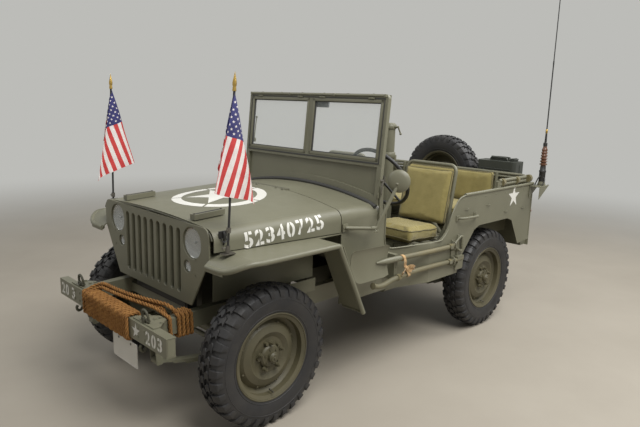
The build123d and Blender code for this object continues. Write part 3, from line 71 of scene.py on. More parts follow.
class Surface:
    """A Principled material with its node tree at hand."""

    def __init__(self, name, colour, roughness=0.5, metallic=0.0):
        self.material = bpy.data.materials.new(name)
        self.material.use_nodes = True
        self.tree = self.material.node_tree
        self.shader = self.tree.nodes["Principled BSDF"]
        self.place = self.node("ShaderNodeTexCoord").outputs["Object"]
        self.set("Base Color", colour)
        self.set("Roughness", roughness)
        self.set("Metallic", metallic)

    def node(self, kind, **values):
        made = self.tree.nodes.new(kind)
        for key, value in values.items():
            setattr(made, key, value)
        return made

    def link(self, source, target):
        self.tree.links.new(source, target)

    def fill(self, socket, value):
        """Put a plain value or another node's output in a socket."""
        if isinstance(value, bpy.types.NodeSocket):
            self.link(value, socket)
        else:
            socket.default_value = value

    def set(self, name, value):
        self.fill(self.shader.inputs[name], value)

    def noise(self, scale, detail=3.0):
        made = self.node("ShaderNodeTexNoise")
        made.inputs["Scale"].default_value = scale
        made.inputs["Detail"].default_value = detail
        made.inputs["Roughness"].default_value = 0.55
        self.link(self.place, made.inputs["Vector"])
        return made.outputs["Fac"]

    def axes(self, vector=None):
        made = self.node("ShaderNodeSeparateXYZ")
        self.link(vector or self.place, made.inputs[0])
        return made.outputs

    def ramp(self, value, stops):
        made = self.node("ShaderNodeValToRGB")
        elements = made.color_ramp.elements
        while len(elements) < len(stops):
            elements.new(0.5)
        for element, (position, colour) in zip(elements, stops):
            element.position = position
            element.color = colour
        self.link(value, made.inputs["Fac"])
        return made.outputs["Color"]

    def spread(self, value, low, high):
        made = self.node("ShaderNodeMapRange")
        made.inputs["To Min"].default_value = low
        made.inputs["To Max"].default_value = high
        self.link(value, made.inputs["Value"])
        return made.outputs["Result"]

    def math(self, operation, first, second=0.0):
        made = self.node("ShaderNodeMath", operation=operation)
        self.fill(made.inputs[0], first)
        self.fill(made.inputs[1], second)
        return made.outputs[0]

    def times(self, first, second):
        return self.math("MULTIPLY", first, second)

    def mix(self, factor, first, second):
        made = self.node("ShaderNodeMix", data_type="RGBA")
        for index, value in ((0, factor), (6, first), (7, second)):
            self.fill(made.inputs[index], value)
        return made.outputs[2]

    def bump(self, height, distance, strength):
        made = self.node("ShaderNodeBump")
        made.inputs["Distance"].default_value = distance
        made.inputs["Strength"].default_value = strength
        self.link(height, made.inputs["Height"])
        self.link(made.outputs["Normal"], self.shader.inputs["Normal"])


def paint(name, colour, worn, roughness=(0.42, 0.6), patch=2.2):
    """Brushed or sprayed enamel: cloudy tone, fine orange peel and a little dust."""
    made = Surface(name, colour)
    cloud = made.noise(patch, 4)
    speck = made.noise(90, 2)
    toned = made.ramp(cloud, [(0.3, colour), (0.72, worn)])
    dust = made.ramp(speck, [(0.55, (0, 0, 0, 1)), (0.8, (1, 1, 1, 1))])
    made.set("Base Color", made.mix(made.times(dust, 0.16), toned, worn))
    made.set("Roughness", made.spread(made.noise(14, 4), *roughness))
    made.bump(made.noise(260, 2), 0.0004, 0.35)
    return made.material


olive = paint("olive_paint", srgb(107, 105, 86), srgb(118, 116, 97), (0.36, 0.52))
olive_dark = paint("olive_paint_dark", srgb(60, 59, 44), srgb(72, 70, 55), (0.5, 0.7))
olive_can = paint("olive_paint_can", srgb(52, 55, 49), srgb(62, 64, 57), (0.35, 0.5))
white_paint = paint("white_marking", srgb(226, 224, 216), srgb(208, 206, 196), (0.5, 0.65))
plate_paint = paint("plate_white", srgb(208, 204, 194), srgb(192, 188, 178), (0.35, 0.5))
black_paint = paint("black_paint", srgb(30, 30, 29), srgb(42, 41, 39), (0.4, 0.6))


def rubber():
    made = Surface("tyre_rubber", srgb(38, 37, 38), 0.6)
    cloud = made.noise(9, 5)
    made.set("Base Color", made.ramp(cloud, [(0.3, srgb(33, 33, 35)), (0.75, srgb(50, 48, 46))]))
    made.set("Roughness", made.spread(made.noise(30, 3), 0.42, 0.68))
    made.bump(made.noise(350, 2), 0.0004, 0.5)
    return made.material


def metal(name, colour, roughness, grain=180.0):
    made = Surface(name, colour, roughness, 1.0)
    made.set("Roughness", made.spread(made.noise(grain, 3), roughness * 0.8, roughness * 1.3))
    made.bump(made.noise(grain * 2, 2), 0.0002, 0.3)
    return made.material


def cloth(name, colour, worn, thread=900.0):
    """Woven cotton: crossed threads in the bump, mottled colour and a soft sheen."""
    made = Surface(name, colour, 0.85)
    waves = [made.math("SINE", made.times(axis, thread * math.pi)) for axis in made.axes()]
    weave = made.math("ADD", made.math("ADD", waves[0], waves[1]), waves[2])
    made.set("Base Color", made.ramp(made.noise(16, 5), [(0.32, colour), (0.7, worn)]))
    made.set("Sheen Weight", 0.25)
    made.bump(weave, 0.0005, 0.35)
    return made.material


def rope_fibre():
    made = Surface("manila_rope", srgb(128, 84, 36), 0.9)
    strands = made.noise(420, 3)
    tone = made.noise(25, 4)
    base = made.ramp(tone, [(0.3, srgb(112, 70, 26)), (0.75, srgb(158, 112, 56))])
    light = made.ramp(strands, [(0.4, (0, 0, 0, 1)), (0.72, (1, 1, 1, 1))])
    made.set("Base Color", made.mix(made.times(light, 0.35), base, srgb(196, 150, 88)))
    made.bump(strands, 0.0012, 0.7)
    return made.material


def glass(name, cover, flutes=0.0):
    """Thin glass as a see-through skin, fluted where it is a lamp's."""
    made = Surface(name, srgb(206, 212, 208), 0.04)
    made.set("Alpha", cover)
    made.set("Roughness", made.spread(made.noise(6, 3), 0.02, 0.08))
    if flutes:
        made.bump(made.math("SINE", made.times(made.axes()[1], flutes)), 0.0006, 0.45)
    return made.material


tyre_rubber = rubber()
canvas = cloth("khaki_canvas", srgb(138, 126, 72), srgb(152, 139, 84))
canvas_dark = cloth("khaki_canvas_dark", srgb(100, 92, 56), srgb(112, 102, 64))
webbing = cloth("tan_webbing", srgb(176, 142, 94), srgb(196, 160, 110), 700)
steel = metal("dull_steel", srgb(120, 116, 108), 0.45)
chrome = metal("lamp_reflector", srgb(176, 176, 174), 0.22, 4.0)
brass = metal("gilt_brass", srgb(196, 164, 92), 0.3)
exhaust_steel = metal("exhaust_steel", srgb(92, 84, 76), 0.6)
rope_material = rope_fibre()
clear_glass = glass("clear_glass", 0.12)
seal_rubber = paint("seal_rubber", srgb(52, 52, 50), srgb(62, 61, 58), (0.6, 0.8))
painted_wood = paint("painted_wood", srgb(100, 97, 76), srgb(116, 108, 80), (0.5, 0.7), 6.0)
slate = paint("slate_paint", srgb(92, 94, 98), srgb(104, 106, 110), (0.35, 0.5))
brown_porcelain = paint("brown_porcelain", srgb(86, 58, 44), srgb(104, 72, 54), (0.2, 0.35))
lamp_glass = glass("lamp_glass", 0.24, 900.0)
red_glass = paint("red_lens", srgb(120, 22, 20), srgb(140, 30, 26), (0.1, 0.2))
mirror_glass = metal("mirror_silver", srgb(214, 218, 220), 0.05)
# Wheels: a darker copy of the olive paint, its darkness painted shade
olive_wheel_painted_shade = paint("olive_paint_wheel", srgb(73, 69, 50), srgb(88, 82, 60), (0.45, 0.62), 5.0)

# Nodes that show and are neither plain olive nor wheels
NODE_MATERIALS = {
    "plates": plate_paint, "engine_block": olive_dark, "exhaust": exhaust_steel, "radiator": black_paint,
    "jerrycan": olive_can, "jerrycan_holder": olive_can, "steering_wheel": black_paint,
    "windshield_glass": clear_glass, "lamps": olive_dark, "gearbox": olive_dark,
}


def dress(obj, material):
    if obj.material_slots:
        for place in obj.material_slots:
            place.material = material
    else:
        obj.data.materials.append(material)


for name, obj in NODES.items():
    # Wheels take the darker olive copy, which is painted shade
    if name.startswith("wheel_") or name == "spare_wheel":
        dress(obj, olive_wheel_painted_shade)
    else:
        dress(obj, NODE_MATERIALS.get(name, olive))


def linked(name, data):
    obj = bpy.data.objects.new(name, data)
    SCENE.collection.objects.link(obj)
    return obj


def evaluated_copy(obj):
    bpy.context.view_layer.update()
    return bpy.data.meshes.new_from_object(obj.evaluated_get(bpy.context.evaluated_depsgraph_get()))


def mesh_from(bm, name):
    mesh = bpy.data.meshes.new(name)
    bm.to_mesh(mesh)
    bm.free()
    return mesh


def circle(count, radius, start=0.0):
    """Pairs of coordinates round a circle."""
    turns = [start + 2 * math.pi * index / count for index in range(count)]
    return [(radius * math.cos(turn), radius * math.sin(turn)) for turn in turns]


def rounded(half_wide, half_high, corner, steps):
    """Pairs of coordinates round four corners; the half sizes are those of the corners' middles."""
    points = []
    for sx, sy, first in ((1, 1, 0), (-1, 1, 1), (-1, -1, 2), (1, -1, 3)):
        for step in range(steps + 1):
            angle = math.pi / 2 * (first + step / steps)
            points.append((sx * half_wide + corner * math.cos(angle),
                           sy * half_high + corner * math.sin(angle)))
    return points


def join(bm, rings, closed=True, around=False):
    """Faces between rings of vertices: closed rings, or also the last ring joined to the first."""
    pairs = list(zip(rings, rings[1:]))
    if around:
        pairs.append((rings[-1], rings[0]))
    for low, high in pairs:
        for step in range(len(low) if closed else len(low) - 1):
            after = (step + 1) % len(low)
            bm.faces.new((low[step], low[after], high[after], high[step]))


def cap(bm, rings):
    bm.faces.new(list(reversed(rings[0])))
    bm.faces.new(rings[-1])


def mesh_piece(name, mesh, body, material, smooth):
    """A mesh that rides on a body, shaded smooth up to an angle in degrees."""
    obj = linked(name, mesh)
    mesh.materials.append(material)
    for face in mesh.polygons:
        face.use_smooth = True
    mesh.set_sharp_from_angle(angle=math.radians(smooth))
    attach(obj, body)
    return obj


class Kit:
    """Collects simple solids and bars in one mesh."""

    def __init__(self):
        self.bm = bmesh.new()

    def put(self, verts, middle, turn=None, scale=(1, 1, 1)):
        """Scale, turn and move new vertices to their place."""
        spin = turn.to_4x4() if turn else Matrix.Identity(4)
        matrix = Matrix.Translation(middle) @ spin @ Matrix.Diagonal((*scale, 1))
        bmesh.ops.transform(self.bm, matrix=matrix, verts=verts)

    def box(self, middle, size, turn=None, bevel=0.0):
        made = bmesh.ops.create_cube(self.bm, size=1.0)["verts"]
        self.put(made, middle, turn, size)
        if bevel:
            edges = list({edge for vert in made for edge in vert.link_edges})
            bmesh.ops.bevel(self.bm, geom=edges, offset=bevel, segments=2, affect="EDGES", profile=0.6)

    def rod(self, start, end, radius, tip=None, sides=16):
        start, end = Vector(start), Vector(end)
        run = end - start
        made = bmesh.ops.create_cone(self.bm, cap_ends=True, segments=sides, radius1=radius,
                                     radius2=radius if tip is None else tip, depth=run.length)["verts"]
        self.put(made, (start + end) / 2, run.to_track_quat("Z", "Y").to_matrix())

    def ball(self, middle, radius, scale=(1, 1, 1)):
        made = bmesh.ops.create_uvsphere(self.bm, u_segments=20, v_segments=12, radius=radius)["verts"]
        self.put(made, middle, scale=scale)

    def bolt(self, place, normal, radius, height):
        """Six-sided head on a round washer."""
        place, normal = Vector(place), Vector(normal).normalized()
        self.rod(place, place + normal * height, radius, sides=6)
        self.rod(place, place + normal * height * 0.35, radius * 1.5, sides=14)

    def ring(self, points):
        return [self.bm.verts.new(point) for point in points]

    def loft(self, rings, around=False):
        """Skin over rings of points; gives the rings' vertices back."""
        made = [self.ring(points) for points in rings]
        join(self.bm, made, around=around)
        return made

    def tube(self, points, radius, sides=12, closed=False):
        """Round bar along points, with the section kept square to the line."""
        points = [Vector(p) for p in points]
        radii = radius if isinstance(radius, (list, tuple)) else [radius] * len(points)
        count = len(points)
        rings = []
        side = None
        for index, point in enumerate(points):
            before = points[(index - 1) % count] if closed or index else points[0]
            after = points[(index + 1) % count] if closed or index < count - 1 else points[-1]
            along = (after - before).normalized()
            if side is None:
                side = along.orthogonal().normalized()
            side = (side - along * side.dot(along)).normalized()
            up = along.cross(side)
            rings.append([point + side * a + up * b for a, b in circle(sides, radii[index])])
        rings = self.loft(rings, around=closed)
        if not closed:
            cap(self.bm, rings)

    def ribbon(self, points, wide, thick, turn=(0, 0, 1), capped=True):
        """Flat strap along points; turn is the direction it is wide in."""
        points = [Vector(p) for p in points]
        turn = Vector(turn).normalized()
        rings = []
        for index, point in enumerate(points):
            along = (points[min(index + 1, len(points) - 1)] - points[max(index - 1, 0)]).normalized()
            across = (turn - along * turn.dot(along)).normalized() * wide / 2
            out = along.cross(across).normalized() * thick / 2
            rings.append([point + a * across + b * out for a, b in ((-1, -1), (1, -1), (1, 1), (-1, 1))])
        rings = self.loft(rings)
        if capped:
            cap(self.bm, rings)

    def plate(self, outline, across, thickness):
        """Flat plate: outline is a list of points on one plane, across the direction it is thick in."""
        across = Vector(across).normalized() * thickness
        rings = [self.ring(outline), self.ring(Vector(p) + across for p in outline)]
        cap(self.bm, rings)
        join(self.bm, rings)

    def done(self, name, material, slot, smooth=35, body="chassis"):
        bmesh.ops.recalc_face_normals(self.bm, faces=self.bm.faces)
        return mesh_piece(name, mesh_from(self.bm, name), body, material, smooth)


def turned(kit, place, along, profile, sides=28):
    """Turned solid: profile gives heights along its axis with their radii."""
    place, along = Vector(place), Vector(along)
    kit.tube([place + along * h for h, _ in profile], [r for _, r in profile], sides)


def smooth_line(points, cuts=6):
    """Points on a Catmull-Rom line through the given ones."""
    points = [Vector(p) for p in points]
    held = [points[0], *points, points[-1]]
    made = []
    for a, b, c, d in zip(held, held[1:], held[2:], held[3:]):
        for cut in range(cuts):
            t = cut / cuts
            made.append(0.5 * (2 * b + (c - a) * t + (2 * a - 5 * b + 4 * c - d) * t * t
                               + (3 * b - a - 3 * c + d) * t ** 3))
    return made + [points[-1]]


# Camera: at the photograph's place, in the car's frame
CAMERA_PLACE = (2.8984, 2.7083, 1.6046)
CAMERA_TURN = (224.81, -11.08, 1.70)
FOCAL_PIXELS = 583.3
PHOTO_PIXELS = 640.0
SENSOR = 36.0


def make_camera():
    yaw, pitch, roll = (math.radians(a) for a in CAMERA_TURN)
    ahead = Vector((math.cos(pitch) * math.cos(yaw), math.cos(pitch) * math.sin(yaw), math.sin(pitch)))
    right = ahead.cross(Vector((0, 0, 1))).normalized()
    up = right.cross(ahead)
    across = right * math.cos(roll) + up * math.sin(roll)
    upward = up * math.cos(roll) - right * math.sin(roll)
    data = bpy.data.cameras.new("camera")
    data.sensor_width = SENSOR
    data.lens = FOCAL_PIXELS * SENSOR / PHOTO_PIXELS
    data.clip_start = 0.05
    data.clip_end = 100
    camera = linked("camera", data)
    turn = Matrix((across, upward, -ahead)).transposed().to_4x4()
    camera.matrix_world = Matrix.Translation(CAMERA_PLACE) @ turn
    SCENE.camera = camera


make_camera()


# Tow rope: wound round the bumper, led back over it and taken round the left frame horn
ROPE = 0.021
ROPE_PITCH = 0.0218
ROPE_OFF = ROPE / 2 + 0.0006
WRAP_TURNS = 21
HORN_X = AXLE_F + 0.3925
HORN_PITCH = 0.0228
# Section of the frame horn
HORN_IN, HORN_OUT, HORN_LOW, HORN_HIGH = 0.327, 0.375, 0.478, 0.566


def loop_turns(corners, first, last, place):
    """Control points of turns round a four-cornered bar: three at each corner."""
    points = []
    count = len(corners)
    for number in range(first, last):
        index = number % count
        corner = Vector(corners[index])
        before = (corner - Vector(corners[index - 1])).normalized()
        after = (Vector(corners[(index + 1) % count]) - corner).normalized()
        for step, flat in enumerate((corner - before * 2 * ROPE_OFF, corner,
                                     corner + after * 2 * ROPE_OFF)):
            points.append(place(flat, (number + (step - 1) * 0.22) / count))
    return points


def rope_route():
    back = BUMPER_FACE - BUMPER_DEPTH - ROPE_OFF
    front = BUMPER_FACE + ROPE_OFF
    low = BUMPER_BOTTOM - ROPE_OFF
    top = BUMPER_TOP + ROPE_OFF
    corners = [(back, low), (front, low), (front, top), (back, top)]
    left_end = 0.243
    points = [(back, left_end + 0.004, top - 0.03), (back, left_end + 0.002, low + 0.035)]
    points += loop_turns(corners, 0, 4 * WRAP_TURNS - 1,
                         lambda flat, turn: (flat.x, left_end - turn * ROPE_PITCH, flat.y))
    over = top + ROPE + 0.0012
    y = left_end - (WRAP_TURNS - 0.25) * ROPE_PITCH
    horn_top = HORN_HIGH + ROPE_OFF
    # First run, over the turns to the horn
    points += [(back + 0.020, y - 0.004, top + 0.004), (back + 0.002, y + 0.004, top + 0.012),
               (back - 0.006, y + 0.030, over), (back - 0.007, y + 0.075, over),
               (back - 0.012, -0.02, over + 0.002), (back - 0.034, 0.14, over + 0.001),
               (HORN_X + 0.012, 0.262, over), (HORN_X + 0.003, 0.318, horn_top + 0.008)]
    horn_left, horn_right = HORN_OUT + ROPE_OFF, HORN_IN - ROPE_OFF
    horn = [(horn_left, horn_top), (horn_left, HORN_LOW - ROPE_OFF), (horn_right, HORN_LOW - ROPE_OFF),
            (horn_right, horn_top)]

    def at_horn(start):
        return lambda flat, turn: (start - turn * HORN_PITCH, flat.x, flat.y)

    points += loop_turns(horn, 0, 3, at_horn(HORN_X))
    # Second run, back behind the first
    gone = HORN_X - 0.75 * HORN_PITCH
    points += [(gone - 0.001, horn_right, horn_top - 0.012), (gone, 0.306, horn_top + 0.014),
               (gone + 0.004, 0.270, over), (gone + 0.032, 0.12, over), (back - 0.030, -0.05, over + 0.001),
               (back - 0.029, -0.16, over), (back - 0.026, y + 0.020, over - 0.001),
               (back - 0.014, y - 0.018, over - 0.014)]
    # One more turn round the bumper
    extra = y - 0.020
    points += loop_turns(corners, 0, 3, lambda flat, turn: (flat.x, extra - turn * ROPE_PITCH, flat.y))
    high = over + ROPE * 0.86
    points += [(back + 0.030, extra - 0.021, top + 0.002), (back + 0.010, extra - 0.018, top + 0.012),
               (back - 0.012, extra + 0.004, high - 0.016), (back - 0.018, extra + 0.045, high),
               (back - 0.020, -0.08, high), (back - 0.040, 0.10, high),
               (HORN_X - 0.008, 0.265, high + 0.002), (HORN_X - 0.026, 0.322, high + 0.001),
               (HORN_X - 0.043, 0.362, horn_top + 0.018)]
    points += loop_turns(horn, 0, 4 * 3 + 2, at_horn(HORN_X - 2.1 * HORN_PITCH))
    points += [(HORN_X - 5.4 * HORN_PITCH, 0.340, 0.4665)]
    return points


def spline_line(points):
    """The smooth line of an open NURBS spline with these control points."""
    curve = bpy.data.curves.new("route", "CURVE")
    curve.dimensions = "3D"
    spline = curve.splines.new("NURBS")
    spline.points.add(len(points) - 1)
    for knot, point in zip(spline.points, points):
        knot.co = (*point, 1.0)
    spline.order_u = 3
    spline.use_endpoint_u = True
    curve.resolution_u = 8
    obj = linked("route", curve)
    mesh = evaluated_copy(obj)
    line = [vert.co.copy() for vert in mesh.vertices]
    bpy.data.objects.remove(obj)
    bpy.data.meshes.remove(mesh)
    bpy.data.curves.remove(curve)
    return line


def even_steps(line, step):
    made = [line[0]]
    left = step
    for start, end in zip(line, line[1:]):
        run = (end - start).length
        gone = 0.0
        while run - gone >= left:
            gone += left
            made.append(start.lerp(end, gone / run))
            left = step
        left -= run - gone
    return made


def laid_rope(name, line, diameter, lay, sides=7):
    """Three strands twisted round the line."""
    bm = bmesh.new()
    strand = diameter * 0.255
    reach = diameter * 0.245
    side = None
    rings = [[], [], []]
    gone = 0.0
    for index, point in enumerate(line):
        along = (line[min(index + 1, len(line) - 1)] - line[max(index - 1, 0)]).normalized()
        if side is None:
            side = along.orthogonal().normalized()
        side = (side - along * side.dot(along)).normalized()
        up = along.cross(side)
        if index:
            gone += (point - line[index - 1]).length
        for number in range(3):
            turn = 2 * math.pi * (gone / lay + number / 3)
            middle = point + (side * math.cos(turn) + up * math.sin(turn)) * reach
            rings[number].append([bm.verts.new(middle + side * a + up * b) for a,
                                  b in circle(sides, strand, turn)])
    for strands in rings:
        join(bm, strands)
        cap(bm, strands)
    bmesh.ops.recalc_face_normals(bm, faces=bm.faces)
    return mesh_from(bm, name)


def make_rope():
    smooth = spline_line(rope_route())
    line = even_steps(smooth, 0.0045)
    rope = mesh_piece("tow_rope", laid_rope("tow_rope", line, ROPE, 0.068), "chassis", rope_material,
                      80)
    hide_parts("rope_wrap", "rope_turns", "rope_run")
    ends = Kit()
    for start, step in ((line[0], line[3]), (line[-1], line[-4])):
        ends.tube([start, start.lerp(step, 0.5), step], ROPE / 2 + 0.0012, 14)
    whipping = ends.done("rope_whipping", webbing, "manila_rope", 40)


make_rope()


# Tyres: smooth carcass with a tread of blocks that wrap over the shoulder
TREAD_DEPTH = 0.0115
TREAD_BASE = TYRE_RADIUS - TREAD_DEPTH
# Half of the tyre's section: radius and distance from its middle plane, from the crown to the bead
CARCASS = [(TREAD_BASE, 0.0), (TREAD_BASE - 0.001, 0.030), (TREAD_BASE - 0.004, 0.054),
           (TREAD_BASE - 0.011, 0.0665), (0.322, 0.0735), (0.302, 0.0775), (0.284, 0.0785), (0.262, 0.077),
           (0.243, 0.0725), (0.230, 0.0685), (0.2215, 0.0665)]


def section_point(reach, lift):
    """Point at a distance along the half section from the crown, raised along its normal."""
    gone = 0.0
    sign = -1 if reach < 0 else 1
    reach = abs(reach)
    for (r0, y0), (r1, y1) in zip(CARCASS, CARCASS[1:]):
        run = math.hypot(r1 - r0, y1 - y0)
        if reach <= gone + run or (r1, y1) == CARCASS[-1]:
            share = (reach - gone) / run
            normal = ((y1 - y0) / run, -(r1 - r0) / run)
            return (r0 + (r1 - r0) * share + normal[0] * lift,
                    sign * (y0 + (y1 - y0) * share + normal[1] * lift))
        gone += run


def tread_block(bm, outline, lift, cuts=1):
    """Block over a four-sided patch: turn and reach of its corners, and its height at both ends."""
    (a0, v0), (a1, v1), (a2, v2), (a3, v3) = outline
    rows = []
    for index in range(cuts + 1):
        t = index / cuts
        left = (a0 + (a3 - a0) * t, v0 + (v3 - v0) * t)
        right = (a1 + (a2 - a1) * t, v1 + (v2 - v1) * t)
        height = lift[0] + (lift[1] - lift[0]) * t
        middle = ((left[0] + right[0]) / 2, (left[1] + right[1]) / 2)
        row = []
        for spot, inset, level in ((left, 0, -0.001), (left, 0.06, height * 0.86), (left, 0.16, height),
                                   (right, 0.16, height), (right, 0.06, height * 0.86), (right, 0, -0.001)):
            angle = spot[0] + (middle[0] - spot[0]) * inset
            reach = spot[1] + (middle[1] - spot[1]) * inset
            radius, across = section_point(reach, level)
            row.append(bm.verts.new((radius * math.cos(angle), across, radius * math.sin(angle))))
        rows.append(row)
    join(bm, rows, closed=False)
    bm.faces.new(rows[0])
    bm.faces.new(list(reversed(rows[-1])))


# Tread blocks as turn and reach at their four corners, height at both ends, and cuts between them:
# a crooked block in two legs at the centre, then a broad shoulder block that goes on down the side as a rib
TREAD_BLOCKS = [
    ((0.02, 0.56, 0.74, 0.20), (0.003, 0.017), (1.0, 1.0), 1),
    ((0.22, 0.80, 0.60, 0.02), (0.0168, 0.031), (1.0, 0.97), 1),
    ((0.30, 0.98, 0.94, 0.34), (0.036, 0.070), (0.97, 0.85), 3),
    ((0.34, 0.94, 0.86, 0.44), (0.0695, 0.0995), (0.84, 0.0035 / TREAD_DEPTH), 3),
]
TREAD_PITCHES = 34
TYRE_CUTS = 96
RIM_PROFILE = [(0.2055, 0.0535), (0.2055, -0.0535)]
# Fine raised rings on the side wall: radius, distance from the middle plane, thickness
WALL_RINGS = [(0.294, 0.0781, 0.0018), (0.236, 0.0706, 0.0025)]


def spun(bm, profile):
    """Closed section of radius and side distance, turned round the tyre's axis."""
    join(bm, [[bm.verts.new((r * c, y, r * s)) for r, y in profile] for c, s in circle(TYRE_CUTS, 1.0)],
         around=True)


def tyre_mesh():
    bm = bmesh.new()
    spun(bm, [(r, -y) for r, y in reversed(CARCASS)] + CARCASS[1:] + RIM_PROFILE)
    pitch = 2 * math.pi / TREAD_PITCHES
    for index in range(TREAD_PITCHES):
        for sign in (-1, 1):
            shift = index * pitch + (pitch / 2 if sign < 0 else 0)
            for turns, (near, far), heights, cuts in TREAD_BLOCKS:
                outline = [(shift + turn * pitch, sign * reach) for turn,
                           reach in zip(turns, (near, near, far, far))]
                tread_block(bm, outline, [TREAD_DEPTH * height for height in heights], cuts)
    for sign in (-1, 1):
        for radius, reach, thick in WALL_RINGS:
            spun(bm, [(radius + a, sign * (reach + 0.8 * b)) for a, b in circle(6, thick)])
    bmesh.ops.recalc_face_normals(bm, faces=bm.faces)
    return mesh_from(bm, "tyre")


LUG_CIRCLE = 0.070


def wheel_details(name, body, matrix):
    """Lug nuts, hub cap parts, valve and rim rivets, drawn with the wheel's axle along +Y."""
    kit = Kit()
    for x, z in circle(5, LUG_CIRCLE, math.pi / 2):
        kit.rod((x, 0.046, z), (x, 0.054, z), 0.0125, 0.011, 14)
        kit.rod((x, 0.048, z), (x, 0.065, z), 0.0095, 0.0085, 6)
        kit.rod((x, 0.048, z), (x, 0.072, z), 0.005, sides=10)
    for x, z in circle(6, 0.039, 0.3):
        kit.bolt((x, 0.053, z), (0, 1, 0), 0.005, 0.006)
    kit.rod((0, 0.078, 0), (0, 0.083, 0), 0.022, 0.019, 24)
    kit.rod((0, 0.083, 0), (0, 0.087, 0), 0.010, 0.008, 6)
    # Rim's rolled bead
    kit.tube([(x, 0.0665, z) for x, z in circle(72, 0.2205)], 0.0042, 8, closed=True)
    # Ring of eight rivets that joins disc and rim
    for x, z in circle(8, 0.165, math.pi / 8):
        kit.ball((x, 0.0245, z), 0.006, (1, 0.6, 1))
    valve = Kit()
    valve.rod((0.0, 0.040, -0.178), (0.0, 0.066, -0.183), 0.0042, 0.0036, 10)
    valve.rod((0.0, 0.066, -0.183), (0.0, 0.075, -0.1845), 0.0048, sides=10)
    kit.done(name, olive_wheel_painted_shade, "olive_paint", 40, body).data.transform(matrix)
    valve.done(name + "_valve", steel, "black_metal", 40, body).data.transform(matrix)


def make_wheels():
    mesh = tyre_mesh()
    for place in ("front_left", "front_right", "rear_left", "rear_right", "spare"):
        spare = place == "spare"
        node, body = ("spare_tyre", "chassis") if spare else (f"tyre_{place}", f"wheel_{place}")
        # The spare lies across the back, and the right wheels are turned about to face outward
        turn = math.pi / 2 if spare else math.pi if place.endswith("right") else 0
        matrix = Matrix.Translation(node_middle(node)) @ Matrix.Rotation(turn, 4, "Z")
        copy = mesh.copy()
        copy.transform(matrix if spare else matrix @ Matrix.Rotation(0.07, 4, "Y"))
        piece = mesh_piece(f"tyre_with_tread_{place}", copy, body, tyre_rubber, 32)
        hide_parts(node)
        if not spare:
            wheel_details(f"wheel_fittings_{place}", body, matrix)
    kit = Kit()
    for y, z in circle(5, LUG_CIRCLE, math.pi / 2):
        spot = node_middle("spare_tyre") + Vector((-0.046, y, z))
        kit.rod(spot, spot - Vector((0.016, 0, 0)), 0.0095, 0.0085, 6)
    kit.done("spare_wheel_nuts", olive_wheel_painted_shade, "olive_paint", 40)


make_wheels()


# Flags
FLAG_FLY = 0.457
FLAG_HOIST = 0.305


def flag_cloth():
    """Stripes, canton and stars from the cloth's measures: U along the fly, V down the hoist, in metres."""
    made = Surface("flag_cloth", srgb(190, 60, 60), 0.8)
    fly, hoist, _ = made.axes(made.node("ShaderNodeUVMap", uv_map="cloth").outputs[0])
    stripe = made.math("MODULO", made.math("FLOOR", made.math("DIVIDE", hoist, FLAG_HOIST / 13)), 2.0)
    weave = made.noise(22, 4)
    red = made.ramp(weave, [(0.3, srgb(176, 44, 44)), (0.7, srgb(196, 60, 56))])
    white = made.ramp(weave, [(0.3, srgb(206, 198, 194)), (0.7, srgb(226, 220, 214))])
    navy = made.ramp(weave, [(0.3, srgb(34, 34, 84)), (0.7, srgb(46, 46, 104))])
    canton_fly, canton_hoist = FLAG_FLY * 0.44, FLAG_HOIST * 7 / 13
    # A five-pointed star's edge lies this far from its middle, for points of 7.2 mm
    star_edge = 0.309 * 0.0072

    def star_lattice(first):
        near = []
        for value, count, size in ((fly, 12, canton_fly), (hoist, 10, canton_hoist)):
            step = size / count
            place = made.math("DIVIDE", made.math("SUBTRACT", value, first * step), 2 * step)
            off = made.math("SUBTRACT", place, made.math("ROUND", place))
            near.append(made.times(off, 2 * step))
        across, down = near
        reach = made.math("SQRT", made.math("ADD", made.times(across, across),
                                            made.times(down, down)))
        turn = made.math("ARCTAN2", across, made.times(down, -1.0))
        wedge = made.math("PINGPONG", made.math("ADD", turn, 4 * math.pi), math.pi / 5)
        edge = made.times(reach, made.math("COSINE", made.math("SUBTRACT", math.radians(72), wedge)))
        return made.math("LESS_THAN", edge, star_edge)

    def inside(value, low, high):
        return made.times(made.math("GREATER_THAN", value, low), made.math("LESS_THAN", value, high))

    step_fly, step_hoist = canton_fly / 12, canton_hoist / 10
    inner = made.times(inside(fly, step_fly, canton_fly - step_fly),
                      inside(hoist, step_hoist, canton_hoist - step_hoist))
    stars = made.math("MAXIMUM", star_lattice(1), made.times(star_lattice(2), inner))
    canton = made.times(made.math("LESS_THAN", fly, canton_fly),
                        made.math("LESS_THAN", hoist, canton_hoist))
    base = made.mix(stripe, red, white)
    made.set("Base Color", made.mix(canton, base, made.mix(stars, navy, white)))
    made.set("Sheen Weight", 0.2)
    waves = [made.math("SINE", made.times(value, 2600.0)) for value in (fly, hoist)]
    made.bump(made.math("ADD", waves[0], waves[1]), 0.0002, 0.3)
    made.material.use_backface_culling = False
    return made.material


flag_material = flag_cloth()


def pole_line(place):
    """Middle of a flag pole at its foot and at its top, from its solids' vertices."""
    side = 1 if place == "left" else -1
    spots = [v.co for v in NODES["flag_poles"].data.vertices if v.co.y * side > 0]
    top = max(spot.z for spot in spots)

    def middle(points):
        xs, ys, zs = zip(*points)
        return Vector(((max(xs) + min(xs)) / 2, (max(ys) + min(ys)) / 2, sum(zs) / len(zs)))

    # The pole's own lower end is inside its foot, so its line comes from the foot's middle
    foot = middle([spot for spot in spots if spot.z < 0.912])
    return foot, middle([spot for spot in spots if spot.z > top - 0.002])


# Folds of a flag's cloth: the turn from the fly's line, in degrees, and the side that the cloth leans to
FLAG_FOLDS = [(90.0, -1.0), (56.3, 1.0), (28.0, -1.0), (8.0, 0.85), (0.0, 0.0)]
FLAG_COLUMNS, FLAG_ROWS = 96, 40
FLAG_BELOW_TOP = 0.078
